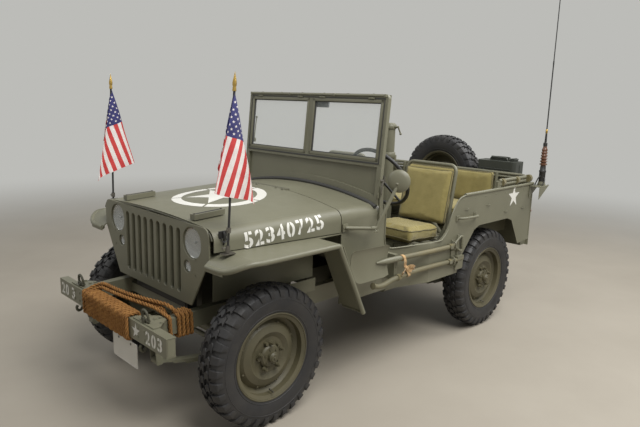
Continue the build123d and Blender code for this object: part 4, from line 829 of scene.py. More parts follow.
# Gilt spear on a pole's top: height and radius
SPEAR = [(0, 0.0085), (0.006, 0.0095), (0.010, 0.0080), (0.014, 0.0090), (0.018, 0.0070), (0.026, 0.0095),
         (0.036, 0.0100), (0.052, 0.0070), (0.070, 0.0032), (0.084, 0.0006)]


def fold_at(turn):
    """Lean, rounded at each fold, and the layer counted from the front, for a turn in degrees."""
    for index, ((high, lean), (low, after)) in enumerate(zip(FLAG_FOLDS, FLAG_FOLDS[1:])):
        if high >= turn >= low:
            share = (high - turn) / (high - low)
            return math.sin((lean + (after - lean) * share) * math.pi / 2), index + share


def make_flag(place, mirror, spread, sway):
    foot, top = pole_line(place)
    direction = (top - foot).normalized()
    apex = top - direction * FLAG_BELOW_TOP
    slant = (foot - top) / (top.z - foot.z)
    bm = bmesh.new()
    uv = bm.loops.layers.uv.new("cloth")
    grid = []
    for row in range(FLAG_ROWS + 1):
        line = []
        for column in range(FLAG_COLUMNS + 1):
            hoist = FLAG_HOIST * row / FLAG_ROWS
            fly = FLAG_FLY * column / FLAG_COLUMNS
            reach = math.hypot(hoist, fly)
            lean, layer = fold_at(math.degrees(math.atan2(fly, hoist)) if reach else 90.0)
            beta = math.radians(spread * lean * 0.985 + sway)
            out = reach * math.sin(beta) * mirror
            down = reach * math.cos(beta)
            # Layers lie one behind the other, the pole among them
            depth = 0.016 - 0.0085 * layer
            if layer > 2.6:
                depth += (layer - 2.6) / 1.4 * 0.018
            depth *= min(1.0, 0.25 + reach / 0.2)
            ripple = 0.0045 * math.sin(out * 52 + layer * 1.7 + down * 3) * min(1.0, reach / 0.25)
            point = apex + Vector((-out, depth + ripple, 0)) + slant * down
            line.append((bm.verts.new(point), fly, hoist))
        grid.append(line)
    for upper, lower in zip(grid, grid[1:]):
        for corners in zip(upper, upper[1:], lower[1:], lower):
            face = bm.faces.new([corner[0] for corner in corners])
            for loop, corner in zip(face.loops, corners):
                loop[uv].uv = corner[1:]
    name = f"flag_{place}_cloth"
    obj = mesh_piece(name, mesh_from(bm, name), "chassis", flag_material, 180)
    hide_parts(f"flag_{place}")
    kit = Kit()
    turned(kit, top - direction * 0.0835, direction, SPEAR, 20)
    kit.done(f"spear_{place}", brass, "gilt_brass", 50)
    # Foot bracket with its wing screw and a clamp ring
    kit = Kit()
    kit.box(foot + Vector((0, 0, -0.004)), (0.062, 0.040, 0.006), bevel=0.0015)
    kit.rod(foot, foot + Vector((0, 0, 0.034)), 0.0115, 0.0105, 20)
    kit.rod(foot + Vector((0.010, 0, 0.024)), foot + Vector((0.026, 0, 0.024)), 0.003, sides=10)
    kit.box(foot + Vector((0.029, 0, 0.024)), (0.006, 0.003, 0.018), bevel=0.001)
    kit.done(f"pole_bracket_{place}", steel, "black_metal", 40)
    kit = Kit()
    spot = foot + direction * 0.105
    kit.rod(spot - direction * 0.012, spot + direction * 0.012, 0.0105, sides=20)
    kit.bolt(spot + Vector((0.0095, 0, 0)), (1, 0, 0), 0.0035, 0.007)
    kit.done(f"pole_clamp_{place}", steel, "black_metal", 40)


def make_poles():
    kit = Kit()
    for place in ("left", "right"):
        foot, top = pole_line(place)
        direction = (top - foot).normalized()
        kit.tube([foot, foot.lerp(top, 0.5), top - direction * FLAG_BELOW_TOP], 0.0055, 14)
    poles = kit.done("poles", black_paint, "black_metal", 50)
    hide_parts("flag_poles")


make_poles()
make_flag("left", 1.0, 13.8, 1.2)
make_flag("right", -1.0, 13.2, -3.4)


# Markings: flat outlines laid on the body's surface
PAINT_LIFT = 0.0007
FIGURE_WIDTH = 0.62
BUMPER_MIDDLE = BUMPER_BOTTOM + 0.0465
TUB_SIDE = 0.708


def surface_of(*names):
    bm = bmesh.new()
    for name in names:
        bm.from_mesh(NODES[name].data)
    tree = BVHTree.FromBMesh(bm)
    bm.free()
    return tree


def lay_marking(bm, name, axes, towards, tree, body):
    """Drape a flat drawing on a surface: axes are its origin and its two directions."""
    origin, across, up = (Vector(v) for v in axes)
    towards = Vector(towards).normalized()
    bmesh.ops.triangulate(bm, faces=bm.faces)
    for _ in range(5):
        long_edges = [edge for edge in bm.edges if edge.calc_length() > 0.022]
        if not long_edges:
            break
        bmesh.ops.subdivide_edges(bm, edges=long_edges, cuts=1)
        bmesh.ops.triangulate(bm, faces=bm.faces)
    for vert in bm.verts:
        spot = origin + across * vert.co.x + up * vert.co.y
        place, normal, _, _ = tree.ray_cast(spot - towards * 0.25, towards)
        if place is None:
            place, normal = spot, -towards
        if normal.dot(towards) > 0:
            normal = -normal
        vert.co = place + normal * PAINT_LIFT
    mesh_piece(name, mesh_from(bm, name), body, white_paint, 40)


def draw_star(bm, radius, turn):
    verts = []
    for index, (x, y) in enumerate(circle(10, radius, turn)):
        share = 0.382 if index % 2 else 1.0
        verts.append(bm.verts.new((x * share, y * share, 0)))
    middle = bm.verts.new((0, 0, 0))
    for index in range(10):
        bm.faces.new((middle, verts[index], verts[(index + 1) % 10]))


def draw_ring(bm, inner, outer, turn, gap, steps=14):
    """Ring in five parts, with a gap of the same width at every end."""
    for part in range(5):
        pairs = []
        for index in range(steps + 1):
            pair = []
            for radius in (inner, outer):
                low = turn + 2 * math.pi * part / 5 + gap / 2 / radius
                angle = low + (2 * math.pi / 5 - gap / radius) * index / steps
                pair.append(bm.verts.new((radius * math.cos(angle), radius * math.sin(angle), 0)))
            pairs.append(pair)
        join(bm, pairs, closed=False)


def draw_number(bm, text, height, pitch, bridge=0.006):
    """Plain stencilled figures, the first at the origin, with the stencil's bridge down the middle."""
    for index, figure in enumerate(text):
        curve = bpy.data.curves.new("figure", "FONT")
        curve.body = figure
        curve.size = 1.0
        curve.offset = 0.028
        obj = linked("figure", curve)
        mesh = evaluated_copy(obj)
        bpy.data.objects.remove(obj)
        bpy.data.curves.remove(curve)
        xs = [v.co.x for v in mesh.vertices]
        ys = [v.co.y for v in mesh.vertices]
        scale_x = FIGURE_WIDTH * height / (max(xs) - min(xs))
        scale_y = height / (max(ys) - min(ys))
        for vert in mesh.vertices:
            vert.co = ((vert.co.x - (max(xs) + min(xs)) / 2) * scale_x + index * pitch,
                       (vert.co.y - min(ys)) * scale_y - height / 2, 0)
        piece = bmesh.new()
        piece.from_mesh(mesh)
        for side in (-1, 1):
            bmesh.ops.bisect_plane(piece, geom=piece.verts[:] + piece.edges[:] + piece.faces[:],
                                   plane_co=(index * pitch + side * bridge / 2, 0, 0), plane_no=(1, 0, 0))
        gone = [f for f in piece.faces if abs(f.calc_center_median().x - index * pitch) < bridge / 2]
        bmesh.ops.delete(piece, geom=gone, context="FACES")
        bpy.data.meshes.remove(mesh)
        kept = mesh_from(piece, "figure")
        bm.from_mesh(kept)
        bpy.data.meshes.remove(kept)


def make_markings():
    hood = surface_of("hood")
    bm = bmesh.new()
    draw_star(bm, 0.190, math.pi)
    draw_ring(bm, 0.212, 0.266, math.pi, 0.011)
    lay_marking(bm, "hood_star", ((0.985, 0, 1.2), (1, 0, 0), (0, 1, 0)), (0, 0, -1), hood, "hood")
    for side, place in ((1, "left"), (-1, "right")):
        bm = bmesh.new()
        draw_number(bm, "52340725", 0.080, 0.0630)
        # Numbers are read from outside, so the right one starts at the rear
        first, last = Vector((1.2165, side * 0.57, 0.938)), Vector((0.7755, side * 0.6, 0.972))
        if side < 0:
            first, last = last, first
        along = (last - first).normalized()
        up = Vector((0, 0, 1)) - along * along.z
        lay_marking(bm, f"hood_numbers_{place}", (first, along, up), (0, -side, -0.25), hood, "hood")
    bumper = surface_of("front_bumper")
    for name, drawing, spot in (("star", None, 0.304), ("a", "20", 0.415), ("b", "3", 0.520),
                                ("c", "20", -0.535), ("d", "3", -0.400)):
        bm = bmesh.new()
        if drawing:
            draw_number(bm, drawing, 0.064, 0.052, bridge=0.004)
        else:
            draw_star(bm, 0.040, math.pi / 2)
        axes = ((BUMPER_FACE, spot, BUMPER_MIDDLE), (0, 1, 0), (0, 0, 1))
        lay_marking(bm, f"bumper_marking_{name}", axes, (-1, 0, 0), bumper, "chassis")
    tub = surface_of("body_tub")
    for side, place in ((1, "left"), (-1, "right")):
        bm = bmesh.new()
        draw_star(bm, 0.086, math.pi / 2)
        axes = ((-1.1495, side * TUB_SIDE, 0.939), (-side, 0, 0), (0, 0, 1))
        lay_marking(bm, f"quarter_star_{place}", axes, (0, -side, 0), tub, "chassis")


make_markings()


# Seats: each pad is swelled by cloth simulation from a slightly smaller block, then piped
def pad_block(size, turn, inset=0.006):
    bm = bmesh.new()
    made = bmesh.ops.create_cube(bm, size=1.0)["verts"]
    bmesh.ops.transform(bm, matrix=Matrix.Diagonal((*(s - 2 * inset for s in size), 1)), verts=made)
    bmesh.ops.bevel(bm, geom=bm.edges[:], offset=min(0.022, size[2] * 0.3), segments=4, affect="EDGES",
                    profile=0.5)
    bmesh.ops.transform(bm, matrix=turn, verts=bm.verts)
    return mesh_from(bm, "pad")


def swell(obj, mesh, cap_at):
    """Moves the mesh's points as cloth under pressure does, none of them farther than cap_at."""
    cloth_sim = obj.modifiers.new("cloth", "CLOTH")
    settings = cloth_sim.settings
    settings.quality = 4
    settings.use_pressure = True
    settings.uniform_pressure_force = 4.0
    settings.effector_weights.gravity = 0.0
    settings.tension_stiffness = 12
    settings.compression_stiffness = 12
    settings.bending_stiffness = 0.4
    for number in range(1, 21):
        SCENE.frame_set(number)
    swelled = evaluated_copy(obj)
    obj.modifiers.clear()
    SCENE.frame_set(1)
    for vert, new in zip(mesh.vertices, swelled.vertices):
        move = new.co - vert.co
        if move.length > cap_at:
            move *= cap_at / move.length
        vert.co += move
    bpy.data.meshes.remove(swelled)


def make_pad(name, size, place, tilt, cap_at, voxel, seam):
    """Swelled pad with two pipings; seam is their height as a share of half the thickness."""
    turn = Matrix.Translation(place) @ Matrix.Rotation(math.radians(tilt), 4, "Y")
    obj = linked(name, pad_block(size, turn))
    remesh = obj.modifiers.new("remesh", "REMESH")
    remesh.mode = "VOXEL"
    remesh.voxel_size = voxel
    mesh = evaluated_copy(obj)
    obj.modifiers.clear()
    obj.data = mesh
    back = turn.inverted()
    swell(obj, mesh, cap_at)
    half = Vector(size) / 2
    limit = half + Vector((0, 0, 0.009))
    normals = [vert.normal.copy() for vert in mesh.vertices]
    for vert, normal in zip(mesh.vertices, normals):
        spot = back @ vert.co
        edge = max(0.0, min(half.x - abs(spot.x), half.y - abs(spot.y)))
        # Puckers that run in from the seams and fade out, over a slow unevenness
        wave = noise.noise(Vector((spot.x * 38, spot.y * 38, spot.z * 9)))
        slow = noise.noise(Vector((spot.x * 7 + 3, spot.y * 7, spot.z * 5)))
        rise = wave * 0.0016 * math.exp(-edge / 0.035) + slow * 0.0022 - 0.0012 * math.exp(-edge / 0.012)
        spot = back @ (vert.co + normal * rise)
        vert.co = turn @ Vector(max(-most, min(most, value)) for value, most in zip(spot, limit))
    dress(obj, canvas)
    for face in mesh.polygons:
        face.use_smooth = True
    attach(obj, "chassis")
    bm = bmesh.new()
    bm.from_mesh(mesh)
    tree = BVHTree.FromBMesh(bm)
    bm.free()
    kit = Kit()
    corner = 0.028
    for share in (seam, -seam):
        outline = rounded(half.x - corner, half.y - corner, corner, 5)
        line = [Vector((x, y, share * half.z)) for x, y in outline]
        points = []
        for start, end in zip(line, line[1:] + line[:1]):
            parts = max(1, int((end - start).length / 0.02))
            for part in range(parts):
                near, normal, _, _ = tree.find_nearest(turn @ start.lerp(end, part / parts))
                points.append(near + normal * 0.0008)
        kit.tube(points, 0.0034, 8, closed=True)
    kit.done(f"{name}_piping", canvas_dark, "canvas", 60)
    return obj


SEAT_X, SEAT_Y = -0.2125, 0.402


def make_seats():
    for side, place in ((1, "driver"), (-1, "passenger")):
        y = side * SEAT_Y
        make_pad(f"{place}_cushion", (0.352, 0.385, 0.094), (SEAT_X, y, 0.7605), -3.3, 0.014,
                             0.007, 0.72)
        make_pad(f"{place}_back_pad", (0.388, 0.405, 0.056), (-0.4585, y, 0.9790), -102.1, 0.010, 0.007,
                 0.55)
    make_pad("bench_cushion", (0.410, 0.880, 0.062), (-1.1025, 0, 0.800), 0, 0.014, 0.0095, 0.6)
    make_pad("bench_back_pad", (0.285, 0.880, 0.062), (-1.3435, 0, 0.9425), 90, 0.012, 0.0095, 0.6)
    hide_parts("seat_cushions")
    # Seat pans, bolts and feet
    kit = Kit()
    for side in (-1, 1):
        y = side * SEAT_Y
        for dx in (-0.135, 0.0, 0.135):
            kit.box((SEAT_X + dx, y, 0.7035 + dx * 0.057), (0.030, 0.385, 0.003), bevel=0.001)
        for dy in (-0.190, 0.190):
            kit.bolt((-0.060, y + dy, 0.7225), (0, 0, 1), 0.005, 0.004)
            kit.bolt((-0.360, y + dy, 0.7080), (0, 0, 1), 0.005, 0.004)
        for dy in (-0.2, 0.2):
            kit.box((-0.0475, y + dy, 0.5505), (0.050, 0.036, 0.005), bevel=0.0015)
            kit.bolt((-0.0315, y + dy, 0.553), (0, 0, 1), 0.005, 0.005)
    kit.done("seat_fittings", olive_dark, "olive_paint")


make_seats()


# Windshield: places given across, up the frame and out from its middle plane
WS_LEAN = math.radians(5.2)
WS_PIVOT = Vector((0.3105, 0, 1.112))
WS_UP = Vector((-math.sin(WS_LEAN), 0, math.cos(WS_LEAN)))
WS_OUT = Vector((math.cos(WS_LEAN), 0, math.sin(WS_LEAN)))
WS_TURN = Matrix((WS_OUT, Vector((0, 1, 0)), WS_UP)).transposed()


def on_windshield(y, up, out=0.0):
    return WS_PIVOT + Vector((0, y, 0)) + WS_UP * up + WS_OUT * out


def frame_bars(kit, y0, y1, up0, up1, wide, deep, out, bevel=0.002):
    """Four bars round an opening, set inside its edges."""
    y, up = (y0 + y1) / 2, (up0 + up1) / 2
    for spot, size in (
        ((y, up0 + wide / 2), (deep, y1 - y0, wide)), ((y, up1 - wide / 2), (deep, y1 - y0, wide)),
        ((y0 + wide / 2, up), (deep, wide, up1 - up0)), ((y1 - wide / 2, up), (deep, wide, up1 - up0)),
    ):
        kit.box(on_windshield(*spot, out), size, WS_TURN, bevel)


def make_windshield():
    inner = Kit()
    seal = Kit()
    for side in (-1, 1):
        low, high = sorted((side * 0.0165, side * 0.5875))
        frame_bars(inner, low, high, 0.151, 0.4995, 0.017, 0.016, 0.0075)
        frame_bars(seal, low + 0.0168, high - 0.0168, 0.1678, 0.4827, 0.005, 0.012, 0.0045, 0.001)
    # Dark channel round both panes, on the outer frame
    for spot, size in (
        ((0, 0.139), (0.004, 1.186, 0.009)), ((0, 0.5065), (0.004, 1.186, 0.0055)),
        ((-0.5955, 0.3225), (0.004, 0.006, 0.372)), ((0.5955, 0.3225), (0.004, 0.006, 0.372)),
    ):
        seal.box(on_windshield(*spot, 0.0132), size, WS_TURN, 0.0008)
    inner.done("windshield_inner_frames", olive, "olive_paint", body="windshield")
    seal.done("windshield_seals", seal_rubber, "black_metal", body="windshield")
    kit = Kit()
    # Second tube along the top with its end caps and turn buttons
    kit.tube([on_windshield(y, 0.523, 0.0165) for y in (-0.606, -0.3, 0, 0.3, 0.606)], 0.0065, 14)
    for y in (-0.60, -0.2, 0.2, 0.60):
        kit.box(on_windshield(y, 0.523, 0.015), (0.020, 0.016, 0.017), WS_TURN, 0.002)
    for y in (-0.50, -0.30, -0.10, 0.10, 0.30, 0.50):
        kit.rod(on_windshield(y, 0.5300, 0.002), on_windshield(y, 0.5350, 0.002), 0.0055, 0.005, 14)
        kit.box(on_windshield(y, 0.5335, 0.002), (0.004, 0.013, 0.003), WS_TURN, 0.0008)
    # Hinges of the swinging panes and the screws of the frame
    for y in (-0.5, -0.1, 0.1, 0.5):
        kit.rod(on_windshield(y - 0.022, 0.507, 0.017), on_windshield(y + 0.022, 0.507, 0.017), 0.0052,
                sides=12)
    for index in range(17):
        y = -0.56 + index * 0.07
        kit.bolt(on_windshield(y, 0.1265, 0.0128), WS_OUT, 0.0028, 0.0022)
    for side in (-1, 1):
        for index in range(6):
            kit.bolt(on_windshield(side * 0.607, 0.05 + index * 0.085, 0.0128), WS_OUT, 0.0030, 0.0024)
        # Stay arms of the panes, inside, with their wing nuts
        kit.rod(on_windshield(side * 0.575, 0.20, -0.012), on_windshield(side * 0.575, 0.36, -0.020),
                0.0035, sides=10)
        kit.ball(on_windshield(side * 0.575, 0.36, -0.020), 0.0075)
        kit.box(on_windshield(side * 0.575, 0.20, -0.016), (0.012, 0.020, 0.028), WS_TURN, 0.002)
        # Corner gusset plates
        for up in (0.500, 0.155):
            kit.box(on_windshield(side * 0.600, up, -0.0137), (0.003, 0.036, 0.060), WS_TURN, 0.001)
        # Wiper pivot through the top bar
        kit.rod(on_windshield(side * 0.27, 0.491, -0.02), on_windshield(side * 0.27, 0.491, 0.016), 0.004,
                sides=12)
    kit.done("windshield_fittings", olive, "olive_paint", body="windshield")
    # Rear-view mirror in the middle of the top bar, inside
    kit = Kit()
    kit.box(on_windshield(0.047, 0.468, -0.040), (0.014, 0.118, 0.040), WS_TURN, 0.005)
    kit.rod(on_windshield(0.03, 0.508, -0.012), on_windshield(0.03, 0.486, -0.036), 0.005, sides=12)
    kit.done("inside_mirror", slate, "black_metal", body="windshield")
    # Side clamps that hold the frame upright, hooked on the cowl
    kit = Kit()
    for side in (-1, 1):
        kit.tube([on_windshield(side * 0.6410, 0.045, 0.004), on_windshield(side * 0.6425, 0.02, 0.016),
                  on_windshield(side * 0.6425, -0.018, 0.020), on_windshield(side * 0.6410, -0.035, 0.012)],
                 0.0038, 10)
        kit.rod(on_windshield(side * 0.622, 0.045, 0.0), on_windshield(side * 0.643, 0.045, 0.0), 0.010,
                sides=18)
        kit.box(on_windshield(side * 0.644, 0.056, 0.002), (0.006, 0.004, 0.030), WS_TURN, 0.0015)
    kit.done("windshield_clamps", steel, "black_metal", body="windshield")
    # Rubber strip between the frame's foot and the cowl
    kit = Kit()
    half, curved = 0.612, 0.556
    line = []
    for index in range(61):
        y = half * (index / 30 - 1)
        fall = 0.060 * min(1.0, abs(y) / curved) ** 2 + 0.020 * max(0.0, abs(y) - curved) / (half - curved)
        line.append((0.3385, y, 1.088 - fall))
    kit.tube(line, 0.0125)
    kit.done("cowl_seal", seal_rubber, "black_metal", 60)


make_windshield()


# Hood: catches on its sides, slots in the rest blocks and the hinge's rivets
BLOCK_Y = 0.340
BLOCK_FALL = 0.0104
CATCH_X = 1.352


def block_top(share):
    """Point on the top of a rest block, from its rear end to its front end."""
    low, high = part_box("hood_blocks")
    return Vector((low.x + (high.x - low.x) * share, 0, high.z - BLOCK_FALL * share))


def make_hood_parts():
    kit = Kit()
    for side in (-1, 1):
        kit.box((CATCH_X, side * 0.5435, 0.978), (0.046, 0.007, 0.036), bevel=0.002)
        for line, radius, sides in (
            ([(0, 0.549, 0.992), (0, 0.556, 0.976), (0, 0.553, 0.948), (0, 0.549, 0.930)], 0.0045, 10),
            ([(-0.014, 0.550, 0.966), (-0.012, 0.5575, 0.950), (0, 0.560, 0.944), (0.012, 0.5575, 0.950),
              (0.014, 0.550, 0.966)], 0.0028, 8),
        ):
            kit.tube(smooth_line([(CATCH_X + x, side * y, z) for x, y, z in line], 5), radius, sides)
        for dx in (-0.016, 0.016):
            kit.bolt((CATCH_X + dx, side * 0.547, 0.990), (0, side, 0), 0.0032, 0.0025)
    kit.done("hood_catches", black_paint, "black_metal", body="hood")
    slots = Kit()
    rivets = Kit()
    for side in (-1, 1):
        y = side * BLOCK_Y
        for share in (0.06, 0.94):
            spot = block_top(share) + Vector((0, y, 0))
            slots.rod(spot - Vector((0, 0, 0.002)), spot + Vector((0, 0, 0.0014)), 0.0075, sides=20)
            rivets.bolt(spot + Vector((0, 0, 0.001)), (0, 0, 1), 0.0038, 0.003)
        rear, front = block_top(0.10), block_top(0.90)
        corners = ((rear, -0.006), (front, -0.006), (front, 0.006), (rear, 0.006))
        slots.plate([(end.x, y + dy, end.z) for end, dy in corners], (0, 0, 1), 0.0012)
    slots.done("block_slots", seal_rubber, "wood", body="hood")
    # Hinge leaves riveted behind the hood's edge
    for y in (-0.150, -0.090, 0.090, 0.150):
        rivets.bolt((0.646, y, 1.0782), (0, 0, 1), 0.0045, 0.0022)
    rivets.done("hood_rivets", olive_dark, "olive_paint", body="hood")
    # Dark slit behind the hinge
    # Black strip behind the hinge: painted shade of the slit there
    kit = Kit()
    kit.box((0.6195, 0, 1.0800), (0.0060, 0.37, 0.0022))
    kit.done("hinge_gap_painted_shade", black_paint, "black_metal")


make_hood_parts()


def make_hood_rest():
    """Woven strip on the grille's top that the hood's front edge closes on."""
    kit = Kit()
    half, corner, low_z, high_z, sunk = 0.483, 0.062, 1.003, 1.022, 0.0085
    radius = (half ** 2 + (high_z - low_z) ** 2) / (2 * (high_z - low_z))
    line = []
    for step in range(-20, 21):
        y = half * step / 20
        line.append((1.4072, y, high_z - radius + math.sqrt(radius ** 2 - y ** 2) - sunk))
    for step in range(1, 7):
        turn = math.radians(13 * step)
        y = half + (corner - sunk) * math.sin(turn)
        z = low_z - corner + (corner - sunk) * math.cos(turn)
        line = [(1.4072, -y, z), *line, (1.4072, y, z)]
    kit.tube(line, 0.0046, 10)
    kit.done("hood_rest_strip", olive_dark, "olive_paint", 60)


make_hood_rest()


# Front: lamps, grille returns, radiator core, shackles, hooks and bolts
LAMP_PLACES = [(0.379, 0.915, 0.080), (0.337, 0.792, 0.033)]
GRILLE_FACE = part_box("grille")[1].x


# Lamp dish as depth and share of its radius, and its lens as shares of the radius
DISH = [(0.0030, 1.0), (0.0060, 0.97), (0.0095, 0.80), (0.0120, 0.55), (0.0134, 0.28), (0.0137, 0.05)]
LENS_SHARES = (1.0, 0.93, 0.80, 0.62, 0.40, 0.18)


def disc_ring(x, y, z, radius, count=40):
    return [(x, y + a, z + b) for a, b in circle(count, radius)]


def make_lamps():
    lens = Kit()
    dish = Kit()
    rims = Kit()
    for side in (-1, 1):
        for y, z, hole in LAMP_PLACES:
            y = side * y
            reach = hole - 0.0040
            front = GRILLE_FACE - 0.0083
            # Shallow polished dish and a bulb
            rings = dish.loft([disc_ring(front - depth, y, z, reach * share) for depth, share in DISH])
            dish.bm.faces.new(rings[-1])
            dish.ball((front - 0.0105, y, z), 0.0045 if hole < 0.05 else 0.006)
            # Domed lens
            dome = [(0.0105 * (1 - share * share) * hole / 0.08 - 0.0022, share) for share in LENS_SHARES]
            rings = lens.loft([disc_ring(front + bulge, y, z, reach * share) for bulge, share in dome])
            lens.bm.faces.new(rings[-1])
            # Bezel ring inside the hole, and the rolled edge of the grille's hole
            rims.tube(disc_ring(front - 0.0010, y, z, reach + 0.0012, 48), 0.0026, 8, closed=True)
            rims.tube(disc_ring(GRILLE_FACE - 0.0035, y, z, hole + 0.0012, 48), 0.0034, 8, closed=True)
    dish.done("lamp_dishes", chrome, "glass", 60)
    glasses = lens.done("lamp_glasses", lamp_glass, "glass", 60)
    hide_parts("lamp_lenses")
    rims.done("lamp_rims", olive, "olive_paint", 60)


SLOT_PITCH, SLOT_HALF, SLOT_TOP, SLOT_FOOT = 0.0647, 0.019, 0.951, 0.659
GUSSET_Y = 0.351
SHACKLE_X = 1.648


def slot_ring(x, y, radius):
    """Half circles at the top and the foot of a slot of the grille."""
    points = []
    for first, middle in ((0, SLOT_TOP), (math.pi, SLOT_FOOT)):
        for index in range(24):
            turn = first + math.pi * index / 23
            points.append((x, y + radius * math.cos(turn), middle + radius * math.sin(turn)))
    return points


def make_front():
    kit = Kit()
    # Returns of the nine slots, turned back into the panel
    for number in range(-4, 5):
        kit.loft([slot_ring(GRILLE_FACE - back, number * SLOT_PITCH, SLOT_HALF + grow)
                  for back, grow in ((0.0005, 0.0030), (0, 0.0012), (0.002, 0), (0.024, -0.001))])
    kit.done("grille_returns", olive, "olive_paint", 50)
    # Radiator core: fins and tubes
    kit = Kit()
    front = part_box("radiator")[1].x
    for index in range(62):
        kit.box((front + 0.0015, -0.244 + index * 0.008, 0.745), (0.003, 0.0022, 0.34))
    for index in range(28):
        kit.box((front + 0.0008, 0, 0.590 + index * 0.0115), (0.0016, 0.490, 0.0012))
    for z, high in ((0.938, 0.042), (0.565, 0.030)):
        kit.box((front + 0.002, 0, z), (0.004, 0.50, high), bevel=0.0015)
    kit.done("radiator_core", black_paint, "black_metal")
    kit = Kit()
    for side in (-1, 1):
        y = side * GUSSET_Y
        # Bolts of the gussets, of the bumper's face and of the grille
        for x, dy in ((1.600, -0.06), (1.600, 0.06), (1.600, 0.0), (1.572, 0.0)):
            kit.bolt((x, y + dy, 0.570), (0, 0, 1), 0.0075, 0.006)
        for dy, dz in ((-0.030, -0.022), (0.030, -0.022), (-0.030, 0.022), (0.030, 0.022)):
            kit.bolt((BUMPER_FACE, y + dy, BUMPER_MIDDLE + dz), (1, 0, 0), 0.006, 0.004)
        for z in (0.68, 0.76, 0.84):
            kit.bolt((GRILLE_FACE, side * 0.408, z), (1, 0, 0), 0.004, 0.003)
        # Edge seam of the bumper channel
        kit.box((BUMPER_FACE - 0.023, side * 0.5795, BUMPER_MIDDLE), (0.040, 0.001, 0.086))
    kit.done("front_bolts", olive, "olive_paint")
    kit = Kit()
    for side in (-1, 1):
        y = side * GUSSET_Y
        # Upright shackle through its eye on the gusset
        kit.box((SHACKLE_X, y, 0.5745), (0.030, 0.014, 0.020), bevel=0.003)
        bow = [(0, -0.024, 0.580), (0.002, -0.026, 0.600), (0.005, -0.018, 0.622), (0.006, 0, 0.630),
               (0.005, 0.018, 0.622), (0.002, 0.026, 0.600), (0, 0.024, 0.580)]
        kit.tube(smooth_line([(SHACKLE_X + dx, y + dy, z) for dx, dy, z in bow]), 0.0062)
        kit.rod((SHACKLE_X, y - 0.036, 0.580), (SHACKLE_X, y + 0.034, 0.580), 0.0055, sides=14)
        for dy in (-0.024, 0.024):
            kit.ball((SHACKLE_X, y + dy, 0.580), 0.0105, (1, 0.7, 1))
        # Hook below the channel
        hook = [(1.640, 0.474), (1.648, 0.448), (1.662, 0.432), (1.676, 0.436), (1.680, 0.452),
                (1.674, 0.462)]
        kit.tube(smooth_line([(x, y, z) for x, z in hook]), 0.0075)
        kit.box((1.640, y, 0.4745), (0.040, 0.030, 0.008), bevel=0.002)
    kit.done("shackles_and_hooks", olive_dark, "olive_paint", 50)
    # Plate: rolled rim and two screws
    kit = Kit()
    low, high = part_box("plates")
    middle = (low + high) / 2
    kit.tube([(high.x + 0.0002, middle.y + a, middle.z + b) for a, b in rounded(0.112, 0.052, 0.0075, 4)],
             0.0016, 8, closed=True)
    kit.done("plate_rim", plate_paint, "plate_white", 60)
    kit = Kit()
    for y in (0.13, 0.25):
        kit.bolt((high.x, y, high.z - 0.014), (1, 0, 0), 0.004, 0.003)
        kit.box((high.x - 0.0035, y, high.z + 0.010), (0.003, 0.016, 0.050), bevel=0.001)
    kit.done("plate_screws", steel, "black_metal")


make_lamps()
make_front()


# Body: rolled edges, rivets, grips and the fenders' beads
COWL_SIDE = 0.618
TUB_BACK = -1.4578
FENDER_TOP, FENDER_NOSE, FENDER_SIDE, NOSE_CORNER, NOSE_BEND = 0.893, 1.4445, 0.787, 0.190, 0.110


def tub_side(x):
    """Distance of the side sheet from the middle plane."""
    share = min(1.0, max(0.0, (0.2225 - x) / 0.320))
    return COWL_SIDE + (TUB_SIDE - COWL_SIDE) * share


def fender_height(x):
    share = max(0.0, (x - FENDER_NOSE + NOSE_BEND) / NOSE_BEND)
    return FENDER_TOP - 0.059 * share ** 2.1


def make_fender_parts():
    for side, place in ((1, "left"), (-1, "right")):
        kit = Kit()
        # Rolled edge: its middle line lies inside the sheet's corner by this much
        inset, thick = 0.0092, 0.0133
        nose, outer, reach = FENDER_NOSE - inset, FENDER_SIDE - inset, NOSE_CORNER - inset
        plan = [(nose, 0.530), (nose, 0.560), (nose, 0.597)]
        for step in range(1, 10):
            turn = math.pi / 2 * step / 10
            plan.append((FENDER_NOSE - NOSE_CORNER + reach * math.cos(turn) ** 0.75,
                         FENDER_SIDE - NOSE_CORNER + reach * math.sin(turn) ** 0.75))
        plan += [(FENDER_NOSE - NOSE_CORNER, outer), (0.812, outer)]
        line = []
        for (x0, y0), (x1, y1) in zip(plan, plan[1:]):
            for step in range(4):
                x = x0 + (x1 - x0) * step / 4
                line.append((x, side * (y0 + (y1 - y0) * step / 4), fender_height(x) - inset))
        rear = [(0.812, 0.8838), (0.806, 0.879), (0.8005, 0.868), (0.793, 0.852), (0.700, 0.6705),
                (0.602, 0.479)]
        kit.tube(line + [(x, side * outer, z) for x, z in rear], thick, 14)
        kit.tube([(0.6020, side * outer, 0.4815), (0.5995, side * 0.70, 0.4815),
                  (0.5995, side * 0.626, 0.4815)], 0.0070, 10)
        # Bolts along the apron and on the rear sheet
        for x in (0.70, 0.82, 0.94, 1.06, 1.18, 1.28):
            kit.bolt((x, side * 0.430, 0.8935), (0, 0, 1), 0.0045, 0.003)
        for x, z in ((0.766, 0.815), (0.702, 0.690), (0.638, 0.560)):
            kit.bolt((x, side * 0.642, z), (-0.9, 0, 0.44), 0.0045, 0.004)
        kit.done(f"fender_bead_{place}", olive, "olive_paint", 50)
    # Skirts below and above the inner aprons, short of the turned tyres
    kit = Kit()
    for side in (-1, 1):
        for x, z, long, high in ((0.733, 0.5665, 0.190, 0.075), (0.851, 0.5895, 0.050, 0.029),
                                 (0.722, 0.9150, 0.170, 0.050)):
            kit.box((x, side * 0.4400, z), (long, 0.003, high), bevel=0.001)
    kit.done("apron_skirts", olive, "olive_paint")


